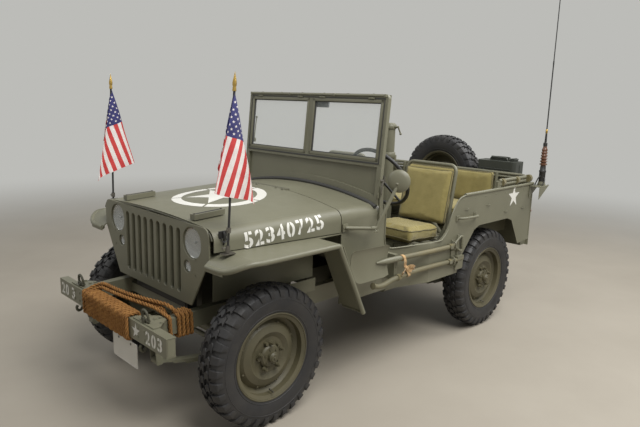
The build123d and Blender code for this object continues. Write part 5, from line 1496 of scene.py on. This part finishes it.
# Edge of the doorway, up to the load space's rail, as x and z
DOORWAY = [(0.2485, 1.030), (0.2480, 0.90), (0.2475, 0.804), (0.2290, 0.761), (0.1875, 0.742),
           (0.060, 0.742), (-0.1775, 0.742), (-0.2400, 0.757), (-0.2900, 0.806), (-0.3200, 0.890),
           (-0.3560, 0.946), (-0.3930, 0.985), (-0.4300, 1.002), (-0.4800, 1.011)]
# Grip behind the doorway: x, distance from the side, z
GRIP = [(-0.392, 0, 0.866), (-0.400, 0.024, 0.868), (-0.424, 0.038, 0.868), (-0.50, 0.040, 0.866),
        (-0.576, 0.038, 0.864), (-0.600, 0.024, 0.864), (-0.608, 0, 0.862)]


def make_tub_parts():
    kit = Kit()
    flat = (1, 0.5, 1)
    for side in (-1, 1):
        kit.tube(smooth_line([(x, side * (tub_side(x) + 0.0005), z) for x, z in DOORWAY]), 0.0052, 10)
        # Rivets and footman loops of the side
        for x in (-0.46, -0.60, -0.74, -0.88, -1.02, -1.16, -1.30, -1.42):
            kit.ball((x, side * 0.7082, 0.980), 0.0042, flat)
        for x, z in ((-0.50, 0.915), (-0.78, 0.915), (-1.04, 0.84), (-1.30, 0.84)):
            loop = ((-0.018, 0.7085), (-0.016, 0.7155), (0.016, 0.7155), (0.018, 0.7085))
            kit.tube([(x + dx, side * y, z) for dx, y in loop], 0.0028, 8)
            for dx in (-0.023, 0.023):
                kit.ball((x + dx, side * 0.7085, z), 0.0034, flat)
        kit.tube(smooth_line([(x, side * (TUB_SIDE + out), z) for x, out, z in GRIP]), 0.0085, 14)
        for x in (-0.390, -0.610):
            kit.box((x, side * (TUB_SIDE + 0.0035), 0.865), (0.034, 0.005, 0.040), bevel=0.002)
            for dz in (-0.014, 0.014):
                kit.bolt((x, side * (TUB_SIDE + 0.006), 0.865 + dz), (0, side, 0), 0.0034, 0.003)
        # Bolts of the tools' front bracket on the left and of the cowl on the right, then rivets
        bracket = 0.7085 if side > 0 else -0.6185
        for z in (0.59, 0.652, 0.715):
            kit.bolt((0.2425, bracket, z), (0, side, 0), 0.004, 0.003)
        for z in (0.62, 0.70, 0.78, 0.86):
            kit.ball((0.590, side * 0.6182, z), 0.004, flat)
        for x in (0.16, 0.04, -0.08, -0.20, -0.32):
            kit.ball((x, side * tub_side(x), 0.505), 0.004, flat)
        # Hook on the cowl that the windshield's clamp closes on
        kit.box((0.330, side * 0.6225, 1.074), (0.016, 0.006, 0.030), bevel=0.002)
        # Bead pressed in the rear corner
        kit.tube([(-1.445, side * 0.7085, 0.60), (-1.445, side * 0.7085, 0.99)], 0.0042, 8)
    for z, places in (
        (0.985, (-0.62, -0.46, -0.30, 0.10, 0.60)), (0.595, (-0.55, -0.35, -0.12, 0.12, 0.60)),
    ):
        for y in places:
            kit.ball((TUB_BACK, y, z), 0.0042, (0.5, 1, 1))
    kit.done("tub_edges_and_grips", olive, "olive_paint", 50)
    # Floor: ribs and drain plugs
    kit = Kit()
    for y in (-0.45, -0.33, -0.21, -0.09, 0.09, 0.21, 0.33, 0.45):
        kit.box((-0.13, y, 0.5455), (0.50, 0.030, 0.005), bevel=0.002)
        kit.box((-0.95, y, 0.6175), (0.84, 0.030, 0.005), bevel=0.002)
    for x in (-0.30, 0.02):
        kit.rod((x, 0.27, 0.545), (x, 0.27, 0.549), 0.028, sides=24)
    kit.done("floor_ribs", olive_dark, "olive_paint")


# Strapped tools on the left side, drawn with y counted from their middle plane
TOOL_Y = 0.7243
BRACKET_X, BUCKLE_X = -0.4135, -0.300


def hang(kit, name, material, slot, smooth=35):
    piece = kit.done(name, material, slot, smooth)
    piece.data.transform(Matrix.Translation((0, TOOL_Y, 0)))
    return piece


def shovel_blade(bm, rows=22, cols=16):
    grids = []
    for layer in (0.0, 0.0022):
        grid = []
        for row in range(rows + 1):
            t = row / rows
            x = 0.3455 + 0.305 * t
            top = 0.8105 + 0.0090 * t
            top -= 0.010 * max(0.0, t * 20 - 19) ** 2 + 0.008 * max(0.0, 1 - 20 * t) ** 2
            foot = 0.6235 + 0.012 * max(0.0, 1 - 10 * t) ** 2 + 0.068 * max(0.0, (t - 0.70) / 0.30) ** 2.4
            line = []
            for col in range(cols + 1):
                s = col / cols * 2 - 1
                hollow = 0.014 * (1 - abs(s) ** 2.2) * (1 - 0.4 * t)
                lip = 0.007 * max(0.0, (0.08 - t) / 0.08) ** 2 + 0.004 * max(0.0, s - 0.86) / 0.14
                line.append(bm.verts.new((x, 0.003 - hollow - 0.004 * t * t + lip + layer,
                                          (top + foot + s * (top - foot)) / 2)))
            grid.append(line)
        grids.append(grid)
        for row in range(rows):
            for col in range(cols):
                bm.faces.new((grid[row][col], grid[row + 1][col], grid[row + 1][col + 1],
                              grid[row][col + 1]))
    inner, outer = grids
    edge = ([(r, 0) for r in range(rows)] + [(rows, c) for c in range(cols)]
            + [(r, cols) for r in range(rows, 0, -1)] + [(0, c) for c in range(cols, 0, -1)])
    for (r0, c0), (r1, c1) in zip(edge, edge[1:] + edge[:1]):
        bm.faces.new((inner[r0][c0], inner[r1][c1], outer[r1][c1], outer[r0][c0]))


def make_tools():
    # Shovel: rolled blade, socket and a D grip
    kit = Kit()
    shovel_blade(kit.bm)
    kit.tube([(0.440, -0.004, 0.7155), (0.400, -0.001, 0.7150), (0.350, 0, 0.7125), (0.290, 0, 0.7105),
              (0.230, 0, 0.7085)], [0.004, 0.011, 0.0165, 0.0168, 0.0160], 16)
    for arm in ([(-0.352, 0, 0.694), (-0.376, 0, 0.716), (-0.420, 0, 0.742), (-0.447, 0, 0.738)],
                [(-0.352, 0, 0.694), (-0.384, 0, 0.672), (-0.425, 0, 0.648), (-0.450, 0, 0.650)]):
        kit.tube(smooth_line(arm), 0.0075)
    kit.tube([(-0.447, 0, 0.745), (-0.450, 0, 0.696), (-0.452, 0, 0.643)], [0.010, 0.0125, 0.010], 14)
    for x in (0.30, 0.26):
        kit.ball((x, 0.0158, 0.7105), 0.004, (1, 0.6, 1))
    # Axe head: poll, cheeks and bit, as x, z and half thickness
    head = [(-0.3835, 0.614, 0.013), (-0.4615, 0.614, 0.013), (-0.4615, 0.596, 0.013),
            (-0.4520, 0.570, 0.012), (-0.4660, 0.534, 0.004), (-0.4640, 0.521, 0.0012),
            (-0.4225, 0.5200, 0.0010), (-0.3810, 0.521, 0.0012), (-0.3790, 0.534, 0.004),
            (-0.3930, 0.570, 0.012), (-0.3835, 0.596, 0.013)]
    cap(kit.bm, kit.loft([[(x, sign * half, z) for x, z, half in head] for sign in (-1, 1)]))
    heads = hang(kit, "tool_heads", olive, "olive_paint", 40)
    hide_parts("pioneer_tools")
    kit = Kit()
    kit.tube(smooth_line([(0.240, 0, 0.7088), (0.05, 0, 0.7020), (-0.12, 0, 0.6960), (-0.26, 0, 0.6925),
                          (-0.356, 0, 0.6940)]), 0.0152, 16)
    haft = smooth_line([(0.466, 0, 0.588), (0.452, 0, 0.585), (0.425, 0, 0.576), (0.370, 0, 0.574),
                        (0.28, 0, 0.590), (0.12, 0, 0.599), (-0.06, 0, 0.598), (-0.24, 0, 0.593),
                        (-0.38, 0, 0.590), (-0.455, 0, 0.590)])
    radii = [0.010]
    for index in range(1, len(haft)):
        t = index / (len(haft) - 1)
        radii.append(0.0135 + 0.006 * math.exp(-((t - 0.02) / 0.035) ** 2) + 0.002 * math.sin(t * math.pi))
    kit.tube(haft, radii, 16)
    hang(kit, "tool_shafts", painted_wood, "wood", 50)

    # Straps: a tied one in the middle, buckled ones at the brackets
    def band(x, z, radius, wide, lean=0.0):
        rings = []
        for dx, grow in ((-wide / 2, 0.0), (-wide / 2, 0.0022), (wide / 2, 0.0022), (wide / 2, 0.0)):
            scale = 1 + grow / radius
            rings.append([(x + dx + lean * b / radius, a * scale, z + b * scale)
                          for a, b in circle(20, radius)])
        kit.loft(rings, around=True)

    kit = Kit()
    band(0.205, 0.7075, 0.0168, 0.022, 0.006)
    band(0.150, 0.5985, 0.0172, 0.020, 0.006)
    # Two lengths between the tools, then the bow: two loops and a tail
    for line, wide, turn in (
        ([(0.203, 0.0175, 0.703), (0.198, 0.0185, 0.684), (0.190, 0.012, 0.662), (0.182, 0.014, 0.645)],
         0.022, (1, 0, 0.2)),
        ([(0.182, 0.014, 0.648), (0.172, 0.016, 0.628), (0.162, 0.0185, 0.610), (0.152, 0.0185, 0.598)],
         0.018, (1, 0, 0.3)),
        ([(0.182, 0.018, 0.647), (0.158, 0.028, 0.655), (0.126, 0.030, 0.646), (0.120, 0.024, 0.632),
          (0.146, 0.018, 0.634), (0.180, 0.016, 0.644)], 0.018, (0, 0.35, 1)),
        ([(0.182, 0.018, 0.647), (0.206, 0.027, 0.642), (0.226, 0.028, 0.626), (0.222, 0.020, 0.612),
          (0.202, 0.017, 0.622), (0.184, 0.016, 0.643)], 0.017, (0, 0.35, 1)),
        ([(0.180, 0.018, 0.645), (0.160, 0.024, 0.628), (0.138, 0.024, 0.618)], 0.017, (0, 0.2, 1)),
    ):
        kit.ribbon(smooth_line(line), wide, 0.0018, turn)
    kit.box((0.182, 0.020, 0.645), (0.020, 0.014, 0.022), Matrix.Rotation(0.5, 3, "Y"), 0.005)
    hang(kit, "tied_strap", webbing, "canvas", 50)
    kit = Kit()
    band(0.236, 0.5935, 0.0178, 0.026)
    band(BUCKLE_X, 0.6928, 0.0168, 0.026)
    band(BUCKLE_X, 0.5918, 0.0168, 0.026)
    hang(kit, "buckled_straps", canvas_dark, "canvas", 50)
    # Rear bracket: posts, stirrups and buckles
    kit = Kit()
    for x, high in ((BRACKET_X, 0.200), (-0.345, 0.150)):
        kit.box((x, -0.0123, 0.655), (0.022, 0.007, high), bevel=0.002)
    for z in (0.692, 0.590):
        stirrup = ((-0.0143, 0.030), (0.014, 0.024), (0.021, 0), (0.014, -0.024), (-0.0143, -0.030))
        kit.tube(smooth_line([(-0.340, y, z + dz) for y, dz in stirrup], 5), 0.0042, 10)
    for z in (0.575, 0.735):
        kit.bolt((BRACKET_X, -0.0088, z), (0, 1, 0), 0.005, 0.004)
    for z in (0.6928, 0.5918):
        kit.box((BUCKLE_X, 0.0185, z), (0.032, 0.003, 0.022), bevel=0.001)
    hang(kit, "tool_brackets", olive, "olive_paint")


# Mirror: pressed round shell on a bent arm with its clamp and wing nut
def make_mirror():
    kit = Kit()
    kit.box((0.604, 0.6245, 0.923), (0.040, 0.009, 0.044), bevel=0.003)
    for dx in (-0.012, 0.012):
        kit.bolt((0.604 + dx, 0.629, 0.923), (0, 1, 0), 0.004, 0.004)
    kit.tube(smooth_line([(0.604, 0.626, 0.923), (0.590, 0.640, 0.922), (0.500, 0.662, 0.913),
                          (0.425, 0.678, 0.905), (0.406, 0.684, 0.912), (0.394, 0.690, 0.940),
                          (0.345, 0.716, 1.052), (0.312, 0.733, 1.128), (0.302, 0.739, 1.152)]), 0.0100, 14)
    kit.tube([(0.604, 0.626, 0.923), (0.560, 0.646, 0.9185)], 0.0115, 16)
    kit.tube([(0.446, 0.674, 0.9075), (0.414, 0.681, 0.906)], 0.0115, 16)
    kit.rod((0.425, 0.679, 0.906), (0.425, 0.700, 0.890), 0.0040, sides=10)
    for lean in (-0.5, 0.5):
        kit.box((0.425 + lean * 0.022, 0.699, 0.891), (0.018, 0.003, 0.011),
                Matrix.Rotation(-lean * 0.9, 3, "Y"), 0.001)
    # Shell, turned about the line that looks backward
    head = Vector((0.3045, 0.742, 1.168))
    face = Matrix.Rotation(math.radians(26), 3, "Z")

    def dish_ring(out, radius):
        return [head + face @ Vector((out, a, b)) for a, b in circle(48, radius)]

    profile = [(0.0135, 0.008), (0.0128, 0.022), (0.0095, 0.042), (0.0030, 0.058), (-0.0045, 0.0640),
               (-0.0086, 0.0652), (-0.0092, 0.0626)]
    rings = kit.loft([dish_ring(out, radius) for out, radius in profile])
    kit.bm.faces.new(rings[0])
    kit.ball(head + Vector((0.008, -0.002, -0.014)), 0.011)
    shell = kit.done("mirror_shell_and_arm", olive, "olive_paint", 45)
    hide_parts("mirror")
    kit = Kit()
    kit.bm.faces.new(kit.ring(dish_ring(-0.0082, 0.0630)))
    kit.done("mirror_glass", mirror_glass, "glass")


make_fender_parts()
make_tub_parts()
make_tools()
make_mirror()


# Rear: antenna, fuel can, lamps and bumperettes
ANTENNA = Vector((-1.4975, 0.752, 0))
# Height and radius of the whip's parts, above its insulator
WHIP = [(0, 0.0145), (0.010, 0.0155), (0.026, 0.0150), (0.030, 0.009), (0.120, 0.0062), (0.130, 0.0048),
        (0.60, 0.0044), (0.61, 0.0052), (0.63, 0.0052), (0.64, 0.0038), (1.20, 0.0034), (1.21, 0.0042),
        (1.23, 0.0042), (1.24, 0.0028), (1.738, 0.0020), (1.742, 0.0042), (1.7495, 0.0030)]


def make_antenna():
    def stack(kit, z, profile, sides=28):
        turned(kit, ANTENNA + Vector((0, 0, z)), (0, 0, 1), profile, sides)

    kit = Kit()
    kit.box((-1.4675, 0.7503, 0.997), (0.158, 0.0835, 0.006), bevel=0.0015)
    for edge in (0.7115, 0.789):
        kit.plate([(-1.537, edge, 0.994), (-1.389, edge, 0.994), (-1.389, edge, 0.902)], (0, 1, 0), 0.0025)
    for x in (-1.5525, -1.4425, -1.400):
        for dy in (-0.030, 0.030):
            kit.bolt((x, ANTENNA.y + dy, 1.000), (0, 0, 1), 0.0045, 0.004)
    for z in (0.93, 0.975):
        kit.bolt((-1.405, 0.7095, z), (0, 1, 0), 0.0045, 0.004)
    stack(kit, 1.000, [(0, 0.0295), (0.012, 0.0298), (0.014, 0.027), (0.020, 0.026), (0.030, 0.0245)])
    shelf = kit.done("antenna_shelf", olive, "olive_paint")
    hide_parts("antenna")
    kit = Kit()
    stack(kit, 1.030, [(0, 0.0235), (0.070, 0.0235), (0.074, 0.026), (0.084, 0.026), (0.088, 0.022),
                       (0.120, 0.020)])
    # Two cables from the base to the shelf
    for cable in ([(0.020, 0, 1.075), (0.046, -0.004, 1.066), (0.060, -0.012, 1.036),
                   (0.058, -0.024, 1.006)], [(0.010, 0.018, 1.060), (0.018, 0.031, 1.046),
                                             (0.034, 0.031, 1.018), (0.045, 0.022, 1.003)]):
        kit.tube(smooth_line([ANTENNA + Vector(spot) for spot in cable]), 0.0042, 10)
    kit.done("antenna_base", black_paint, "black_metal", 45)
    kit = Kit()
    profile = [(0, 0.019)]
    for number in range(6):
        low = 0.004 + number * 0.022
        size = 0.0285 - number * 0.0014
        profile += [(low, 0.0185), (low + 0.007, size), (low + 0.012, size), (low + 0.019, 0.0178)]
    stack(kit, 1.150, profile + [(0.140, 0.015), (0.150, 0.013)])
    kit.done("antenna_insulator", brown_porcelain, "black_plastic", 45)
    kit = Kit()
    stack(kit, 1.300, WHIP, 14)
    kit.done("antenna_whip", black_paint, "black_metal", 50)
    kit = Kit()
    stack(kit, 1.400, [(0, 0.0066), (0.003, 0.0082), (0.026, 0.0082), (0.029, 0.0060)], 16)
    kit.done("antenna_joint", brass, "gilt_brass", 50)


def make_fuel_can():
    x, y = -1.5575, 0.362
    kit = Kit()
    # Three-bar handle and the cap with its cam lock
    handle = [(-0.078, 1.150), (-0.072, 1.170), (-0.050, 1.179), (0.050, 1.179), (0.072, 1.170),
              (0.078, 1.150)]
    for dx in (-0.026, 0.0, 0.026):
        kit.tube(smooth_line([(x + dx, y + dy, z) for dy, z in handle], 5), 0.0062, 10)
    kit.rod((x, y + 0.122, 1.150), (x, y + 0.122, 1.172), 0.030, 0.029, 30)
    kit.rod((x, y + 0.122, 1.172), (x, y + 0.122, 1.177), 0.033, 0.032, 30)
    kit.box((x, y + 0.122, 1.179), (0.070, 0.012, 0.004), bevel=0.001)
    # Weld seam round the can's middle and the pressed cross on its flanks
    kit.tube([(x, y + a, 0.939 + b) for a, b in rounded(0.140, 0.185, 0.0305, 5)], 0.0032, 8, closed=True)
    for face in (-1, 1):
        for (y0, z0), (y1, z1), radius in (
            ((0.105, 0.800), (0.020, 0.925), 0.0042), ((0.105, 1.080), (0.020, 0.955), 0.0042),
            ((0.125, 0.79), (0.125, 1.09), 0.0032),
        ):
            for side in (-1, 1):
                kit.tube([(x + face * 0.0822, y + side * y0, z0), (x + face * 0.0822, y + side * y1, z1)],
                         radius, 8)
        for z in (0.79, 1.09):
            kit.tube([(x + face * 0.0822, y - 0.125, z), (x + face * 0.0822, y + 0.125, z)], 0.0032, 8)
    kit.done("fuel_can_fittings", olive_can, "olive_paint", 50)
    kit = Kit()
    half = [(-1.459, 0.1735), (x - 0.060, 0.1735), (x - 0.0835, 0.150)]
    plan = [(out, -across) for out, across in half] + [(x - 0.0850, 0)] + half[::-1]
    kit.ribbon(smooth_line([(out, y + across, 1.012) for out, across in plan], 5), 0.028, 0.0022,
               capped=False)
    kit.done("fuel_can_strap", canvas_dark, "canvas", 40)
    kit = Kit()
    kit.box((x - 0.087, y, 1.012), (0.005, 0.036, 0.038), bevel=0.0015)
    for side in (-1, 1):
        for z in (0.76, 0.84):
            kit.bolt((-1.461, y + side * 0.150, z), (-1, 0, 0), 0.0045, 0.004)
    kit.done("fuel_can_buckle", steel, "black_metal")


def make_rear():
    kit = Kit()
    lens = Kit()
    back = (-1, 0, 0)
    for side in (-1, 1):
        # Tail lamps with two lenses, their visors and screws
        y = side * 0.640
        turned(kit, (-1.5030, y, 0.900), back,
               [(-0.004, 0.0330), (0, 0.0345), (0.003, 0.0345), (0.0042, 0.0320)])
        kit.box((-1.5065, y, 0.9185), (0.006, 0.050, 0.006), bevel=0.001)
        for dz in (-0.012, 0.006):
            turned(lens, (-1.5050, y, 0.900 + dz), back, [(0, 0.0085), (0.002, 0.0085), (0.004, 0.0050)],
                   20)
        for dz in (-0.026, 0.026):
            kit.bolt((-1.5035, y, 0.900 + dz), back, 0.0028, 0.003)
        # Bolts of the bumperettes, and reflector discs
        for dy in (-0.05, 0.05):
            kit.bolt((-1.5535, side * 0.600 + dy, 0.55), back, 0.006, 0.005)
        turned(lens, (TUB_BACK, side * 0.690, 0.795), back, [(0, 0.020), (0.005, 0.020), (0.008, 0.015)])
    # Trailer socket with its lid's hinge
    turned(kit, (TUB_BACK, 0.150, 0.800), back,
           [(0, 0.036), (0.010, 0.036), (0.014, 0.032), (0.030, 0.030), (0.032, 0.026)])
    kit.box((-1.4900, 0.150, 0.834), (0.012, 0.030, 0.010), bevel=0.002)
    # Pintle: jaw and chain eyes
    jaw = [(-1.548, 0.520), (-1.566, 0.512), (-1.578, 0.530), (-1.572, 0.556), (-1.552, 0.566)]
    kit.tube(smooth_line([(x, 0, z) for x, z in jaw]), 0.009)
    for side in (-1, 1):
        kit.tube(disc_ring(-1.470, side * 0.085, 0.535, 0.016, 20), 0.0042, 8, closed=True)
        kit.bolt((TUB_BACK, side * 0.045, 0.60), back, 0.006, 0.005)
    kit.done("rear_fittings", olive_dark, "olive_paint", 45)
    lens.done("rear_lenses", red_glass, "glass", 45)
    # Straps round the folded bows
    kit = Kit()
    for side in (-1, 1):
        for x in (-0.985, -1.20, -1.40):
            kit.tube([(x - 0.014, side * 0.690, 1.055), (x + 0.014, side * 0.690, 1.055)], 0.0285, 16)
    kit.done("bow_straps", canvas_dark, "canvas", 50)


# Inside: gauges, pedals, levers, post fittings and running-gear bolts
DASH_X = 0.2675
POST_X = -0.5375
POST_TOP = 1.422
STEERING_AXIS = Vector((-0.8497, 0, 0.5272))
STEERING_TOP = Vector((-0.0075, 0.340, 1.115))
STEERING_FOOT = Vector((0.8225, 0.340, 0.600))
SPRING_Y = 0.3435
# Middle and radius of each gauge; foot, knob and knob radius of each lever
GAUGES = [(0.0, 0.945, 0.040), (-0.088, 0.958, 0.027), (0.088, 0.958, 0.027), (-0.088, 0.905, 0.022),
          (0.088, 0.905, 0.022)]
LEVERS = [((0.03, 0.0, 0.548), (-0.06, 0.03, 0.86), 0.015),
          ((-0.02, -0.06, 0.548), (-0.075, -0.07, 0.76), 0.012),
          ((-0.02, -0.10, 0.548), (-0.075, -0.115, 0.76), 0.012)]


def make_controls():
    kit = Kit()
    faces = Kit()
    marks = Kit()
    for y, z, radius in GAUGES:
        kit.tube(disc_ring(DASH_X - 0.004, y, z, radius, 36), 0.0035, 8, closed=True)
        turned(faces, (DASH_X, y, z), (-1, 0, 0), [(0, radius), (0.004, radius), (0.0045, radius * 0.98)],
               32)
        for tick in range(9):
            angle = math.radians(-120 + tick * 30)
            marks.box((DASH_X - 0.0050, y + radius * 0.80 * math.sin(angle),
                       z + radius * 0.80 * math.cos(angle)), (0.0006, 0.0012, radius * 0.18),
                      Matrix.Rotation(-angle, 3, "X"))
        marks.box((DASH_X - 0.0052, y + 0.004, z + radius * 0.25), (0.0006, 0.0014, radius * 0.62),
                  Matrix.Rotation(-0.3, 3, "X"))
    for y in (-0.20, -0.16, 0.17, 0.21, 0.25):
        turned(kit, (DASH_X, y, 0.925), (-1, 0, 0),
               [(0, 0.008), (0.010, 0.006), (0.012, 0.011), (0.022, 0.010)], 16)
    kit.tube([(DASH_X - 0.001, y, 0.874) for y in (-0.55, 0.0, 0.55)], 0.005, 8)
    # Grip for the passenger
    kit.tube(smooth_line([(DASH_X - out, y, 0.975) for out, y in (
        (0, -0.30), (0.028, -0.31), (0.030, -0.42), (0.028, -0.53), (0, -0.54))], 5), 0.0075)
    faces.done("gauge_faces", black_paint, "black_metal")
    marks.done("gauge_marks", white_paint, "plate_white")
    # Levers and pedals
    for foot, knob, radius in LEVERS:
        kit.tube(smooth_line([foot, (foot[0], foot[1], 0.60), Vector(foot).lerp(Vector(knob), 0.6), knob]),
                 0.0065)
        kit.ball(knob, radius)
    kit.rod((0.03, 0, 0.5475), (0.03, 0, 0.585), 0.040, 0.018, 28)
    for y in (0.22, 0.44):
        kit.tube([(0.33, y, 0.70), (0.255, y, 0.72), (0.235, y, 0.742)], 0.006, 10)
        kit.box((0.232, y, 0.750), (0.010, 0.056, 0.062), Matrix.Rotation(0.5, 3, "Y"), 0.004)
    kit.box((0.255, 0.52, 0.690), (0.008, 0.040, 0.085), Matrix.Rotation(0.6, 3, "Y"), 0.003)
    kit.done("dash_and_controls", olive_dark, "olive_paint", 45)


def make_inside():
    make_controls()
    # Post: base bolts, collars, socket rim and clamp lever
    kit = Kit()
    for dx in (-0.075, 0.055):
        for dy in (-0.074, 0.074):
            kit.bolt((POST_X + dx, dy, 0.625), (0, 0, 1), 0.009, 0.009)
    for z, radius, high in ((0.640, 0.052, 0.030), (1.190, 0.046, 0.045), (1.405, 0.045, 0.034)):
        outer = [(0, radius - 0.003), (0.003, radius), (high - 0.003, radius), (high, radius - 0.003)]
        turned(kit, (POST_X, 0, z), (0, 0, 1), outer, 36)
    kit.tube([(POST_X + a, b, 1.4395) for a, b in circle(36, 0.028)], 0.009, 10, closed=True)
    kit.rod((POST_X, 0.044, POST_TOP), (POST_X, 0.075, POST_TOP), 0.008, sides=12)
    kit.rod((POST_X, 0.072, POST_TOP), (-0.565, 0.076, 1.372), 0.006, 0.005, 12)
    kit.ball((-0.565, 0.076, 1.372), 0.009)
    for side in (-1, 1):
        kit.box((-0.858, side * 0.2805, 0.6205), (0.075, 0.060, 0.006), bevel=0.002)
        for dx in (-0.026, 0.026):
            kit.bolt((-0.858 + dx, side * 0.302, 0.6235), (0, 0, 1), 0.006, 0.006)
        kit.box((-0.568, side * 0.030, 1.190), (0.030, 0.012, 0.050), bevel=0.002)
    kit.done("post_fittings", olive, "olive_paint", 45)
    # Steering: hub nut and the column's clamp
    kit = Kit()
    hub = STEERING_TOP + STEERING_AXIS * 0.0133
    turned(kit, hub, STEERING_AXIS, [(0.010, 0.028), (0.018, 0.026), (0.022, 0.018)])
    turned(kit, hub, STEERING_AXIS, [(0.020, 0.011), (0.027, 0.011), (0.029, 0.008)], 20)
    kit.done("horn_button", black_paint, "black_plastic", 50, "steering_wheel")
    kit = Kit()
    for along in (0.62, 0.64):
        spot = STEERING_FOOT.lerp(STEERING_TOP, along)
        kit.rod(spot - STEERING_AXIS * 0.006, spot + STEERING_AXIS * 0.006, 0.030, sides=28)
    kit.done("column_clamp", olive, "olive_paint")
    # Springs: U bolts and their plates
    kit = Kit()
    bolt = [(-0.030, 0.262), (-0.030, 0.405), (0, 0.4185), (0.030, 0.405), (0.030, 0.262)]
    for axle in (AXLE_F, AXLE_R):
        for y in (-SPRING_Y, SPRING_Y):
            for dx in (-0.045, 0.045):
                kit.tube([(axle + dx, y + dy, z) for dy, z in bolt], 0.006, 10)
            kit.box((axle, y, 0.2655), (0.125, 0.085, 0.009), bevel=0.002)
    kit.done("spring_bolts", olive_dark, "olive_paint", 50)


make_antenna()
make_fuel_can()
make_rear()
make_inside()


# Studio: pale floor that runs into the backdrop's tone far from the car, and three softboxes
BACKDROP = srgb(188, 188, 184)
FLOOR_REACH = 40.0
# Softboxes: place, aim, width, power
SOFTBOXES = [((0.9, 3.4, 5.4), (0.3, 0, 0.6), 4.0, 350), ((-3.5, 1.6, 4.8), (-0.4, 0, 0.7), 3.5, 165),
             ((3.0, -2.8, 4.4), (0.6, 0, 0.7), 3.0, 45)]


def make_studio():
    mesh = bpy.data.meshes.new("floor")
    corners = ((-1, -1), (1, -1), (1, 1), (-1, 1))
    mesh.from_pydata([(x * FLOOR_REACH, y * FLOOR_REACH, 0) for x, y in corners], [], [(0, 1, 2, 3)])
    floor = linked("floor", mesh)
    concrete = Surface("floor", srgb(160, 152, 138), 0.6)
    stain = concrete.noise(1.3, 6)
    tones = [(0.3, srgb(157, 149, 135)), (0.7, srgb(165, 157, 143))]
    concrete.set("Base Color", concrete.ramp(stain, tones))
    away = concrete.node("ShaderNodeVectorMath", operation="LENGTH")
    concrete.link(concrete.place, away.inputs[0])
    share = concrete.node("ShaderNodeMapRange", interpolation_type="SMOOTHSTEP")
    share.inputs["From Min"].default_value = 3.2
    share.inputs["From Max"].default_value = 9.0
    concrete.link(away.outputs["Value"], share.inputs["Value"])
    glow = concrete.node("ShaderNodeEmission")
    glow.inputs["Color"].default_value = BACKDROP
    blend = concrete.node("ShaderNodeMixShader")
    concrete.link(share.outputs["Result"], blend.inputs[0])
    concrete.link(concrete.shader.outputs[0], blend.inputs[1])
    concrete.link(glow.outputs[0], blend.inputs[2])
    concrete.link(blend.outputs[0], concrete.tree.nodes["Material Output"].inputs[0])
    mesh.materials.append(concrete.material)
    world = bpy.data.worlds.new("studio")
    SCENE.world = world
    world.use_nodes = True
    tree = world.node_tree
    light = tree.nodes["Background"]
    light.inputs["Color"].default_value = (0.95, 0.97, 1.0, 1)
    light.inputs["Strength"].default_value = 0.27
    seen = tree.nodes.new("ShaderNodeBackground")
    seen.inputs["Color"].default_value = BACKDROP
    # Camera, glossy and transmission rays all see the backdrop's tone
    path = tree.nodes.new("ShaderNodeLightPath")
    rays = path.outputs["Is Camera Ray"]
    for kind in ("Is Glossy Ray", "Is Transmission Ray"):
        either = tree.nodes.new("ShaderNodeMath")
        either.operation = "MAXIMUM"
        tree.links.new(rays, either.inputs[0])
        tree.links.new(path.outputs[kind], either.inputs[1])
        rays = either.outputs[0]
    mixed = tree.nodes.new("ShaderNodeMixShader")
    for index, output in enumerate((rays, light.outputs[0], seen.outputs[0])):
        tree.links.new(output, mixed.inputs[index])
    tree.links.new(mixed.outputs[0], tree.nodes["World Output"].inputs[0])
    for index, (place, aim, width, power) in enumerate(SOFTBOXES):
        data = bpy.data.lights.new(f"softbox_{index}", "AREA")
        data.shape = "DISK"
        data.size = width
        data.energy = power
        lamp = linked(f"softbox_{index}", data)
        lamp.location = place
        lamp.rotation_euler = (Vector(aim) - Vector(place)).to_track_quat("-Z", "Y").to_euler()


make_studio()
bpy.context.view_layer.update()
SCENE.view_settings.view_transform = "Standard"
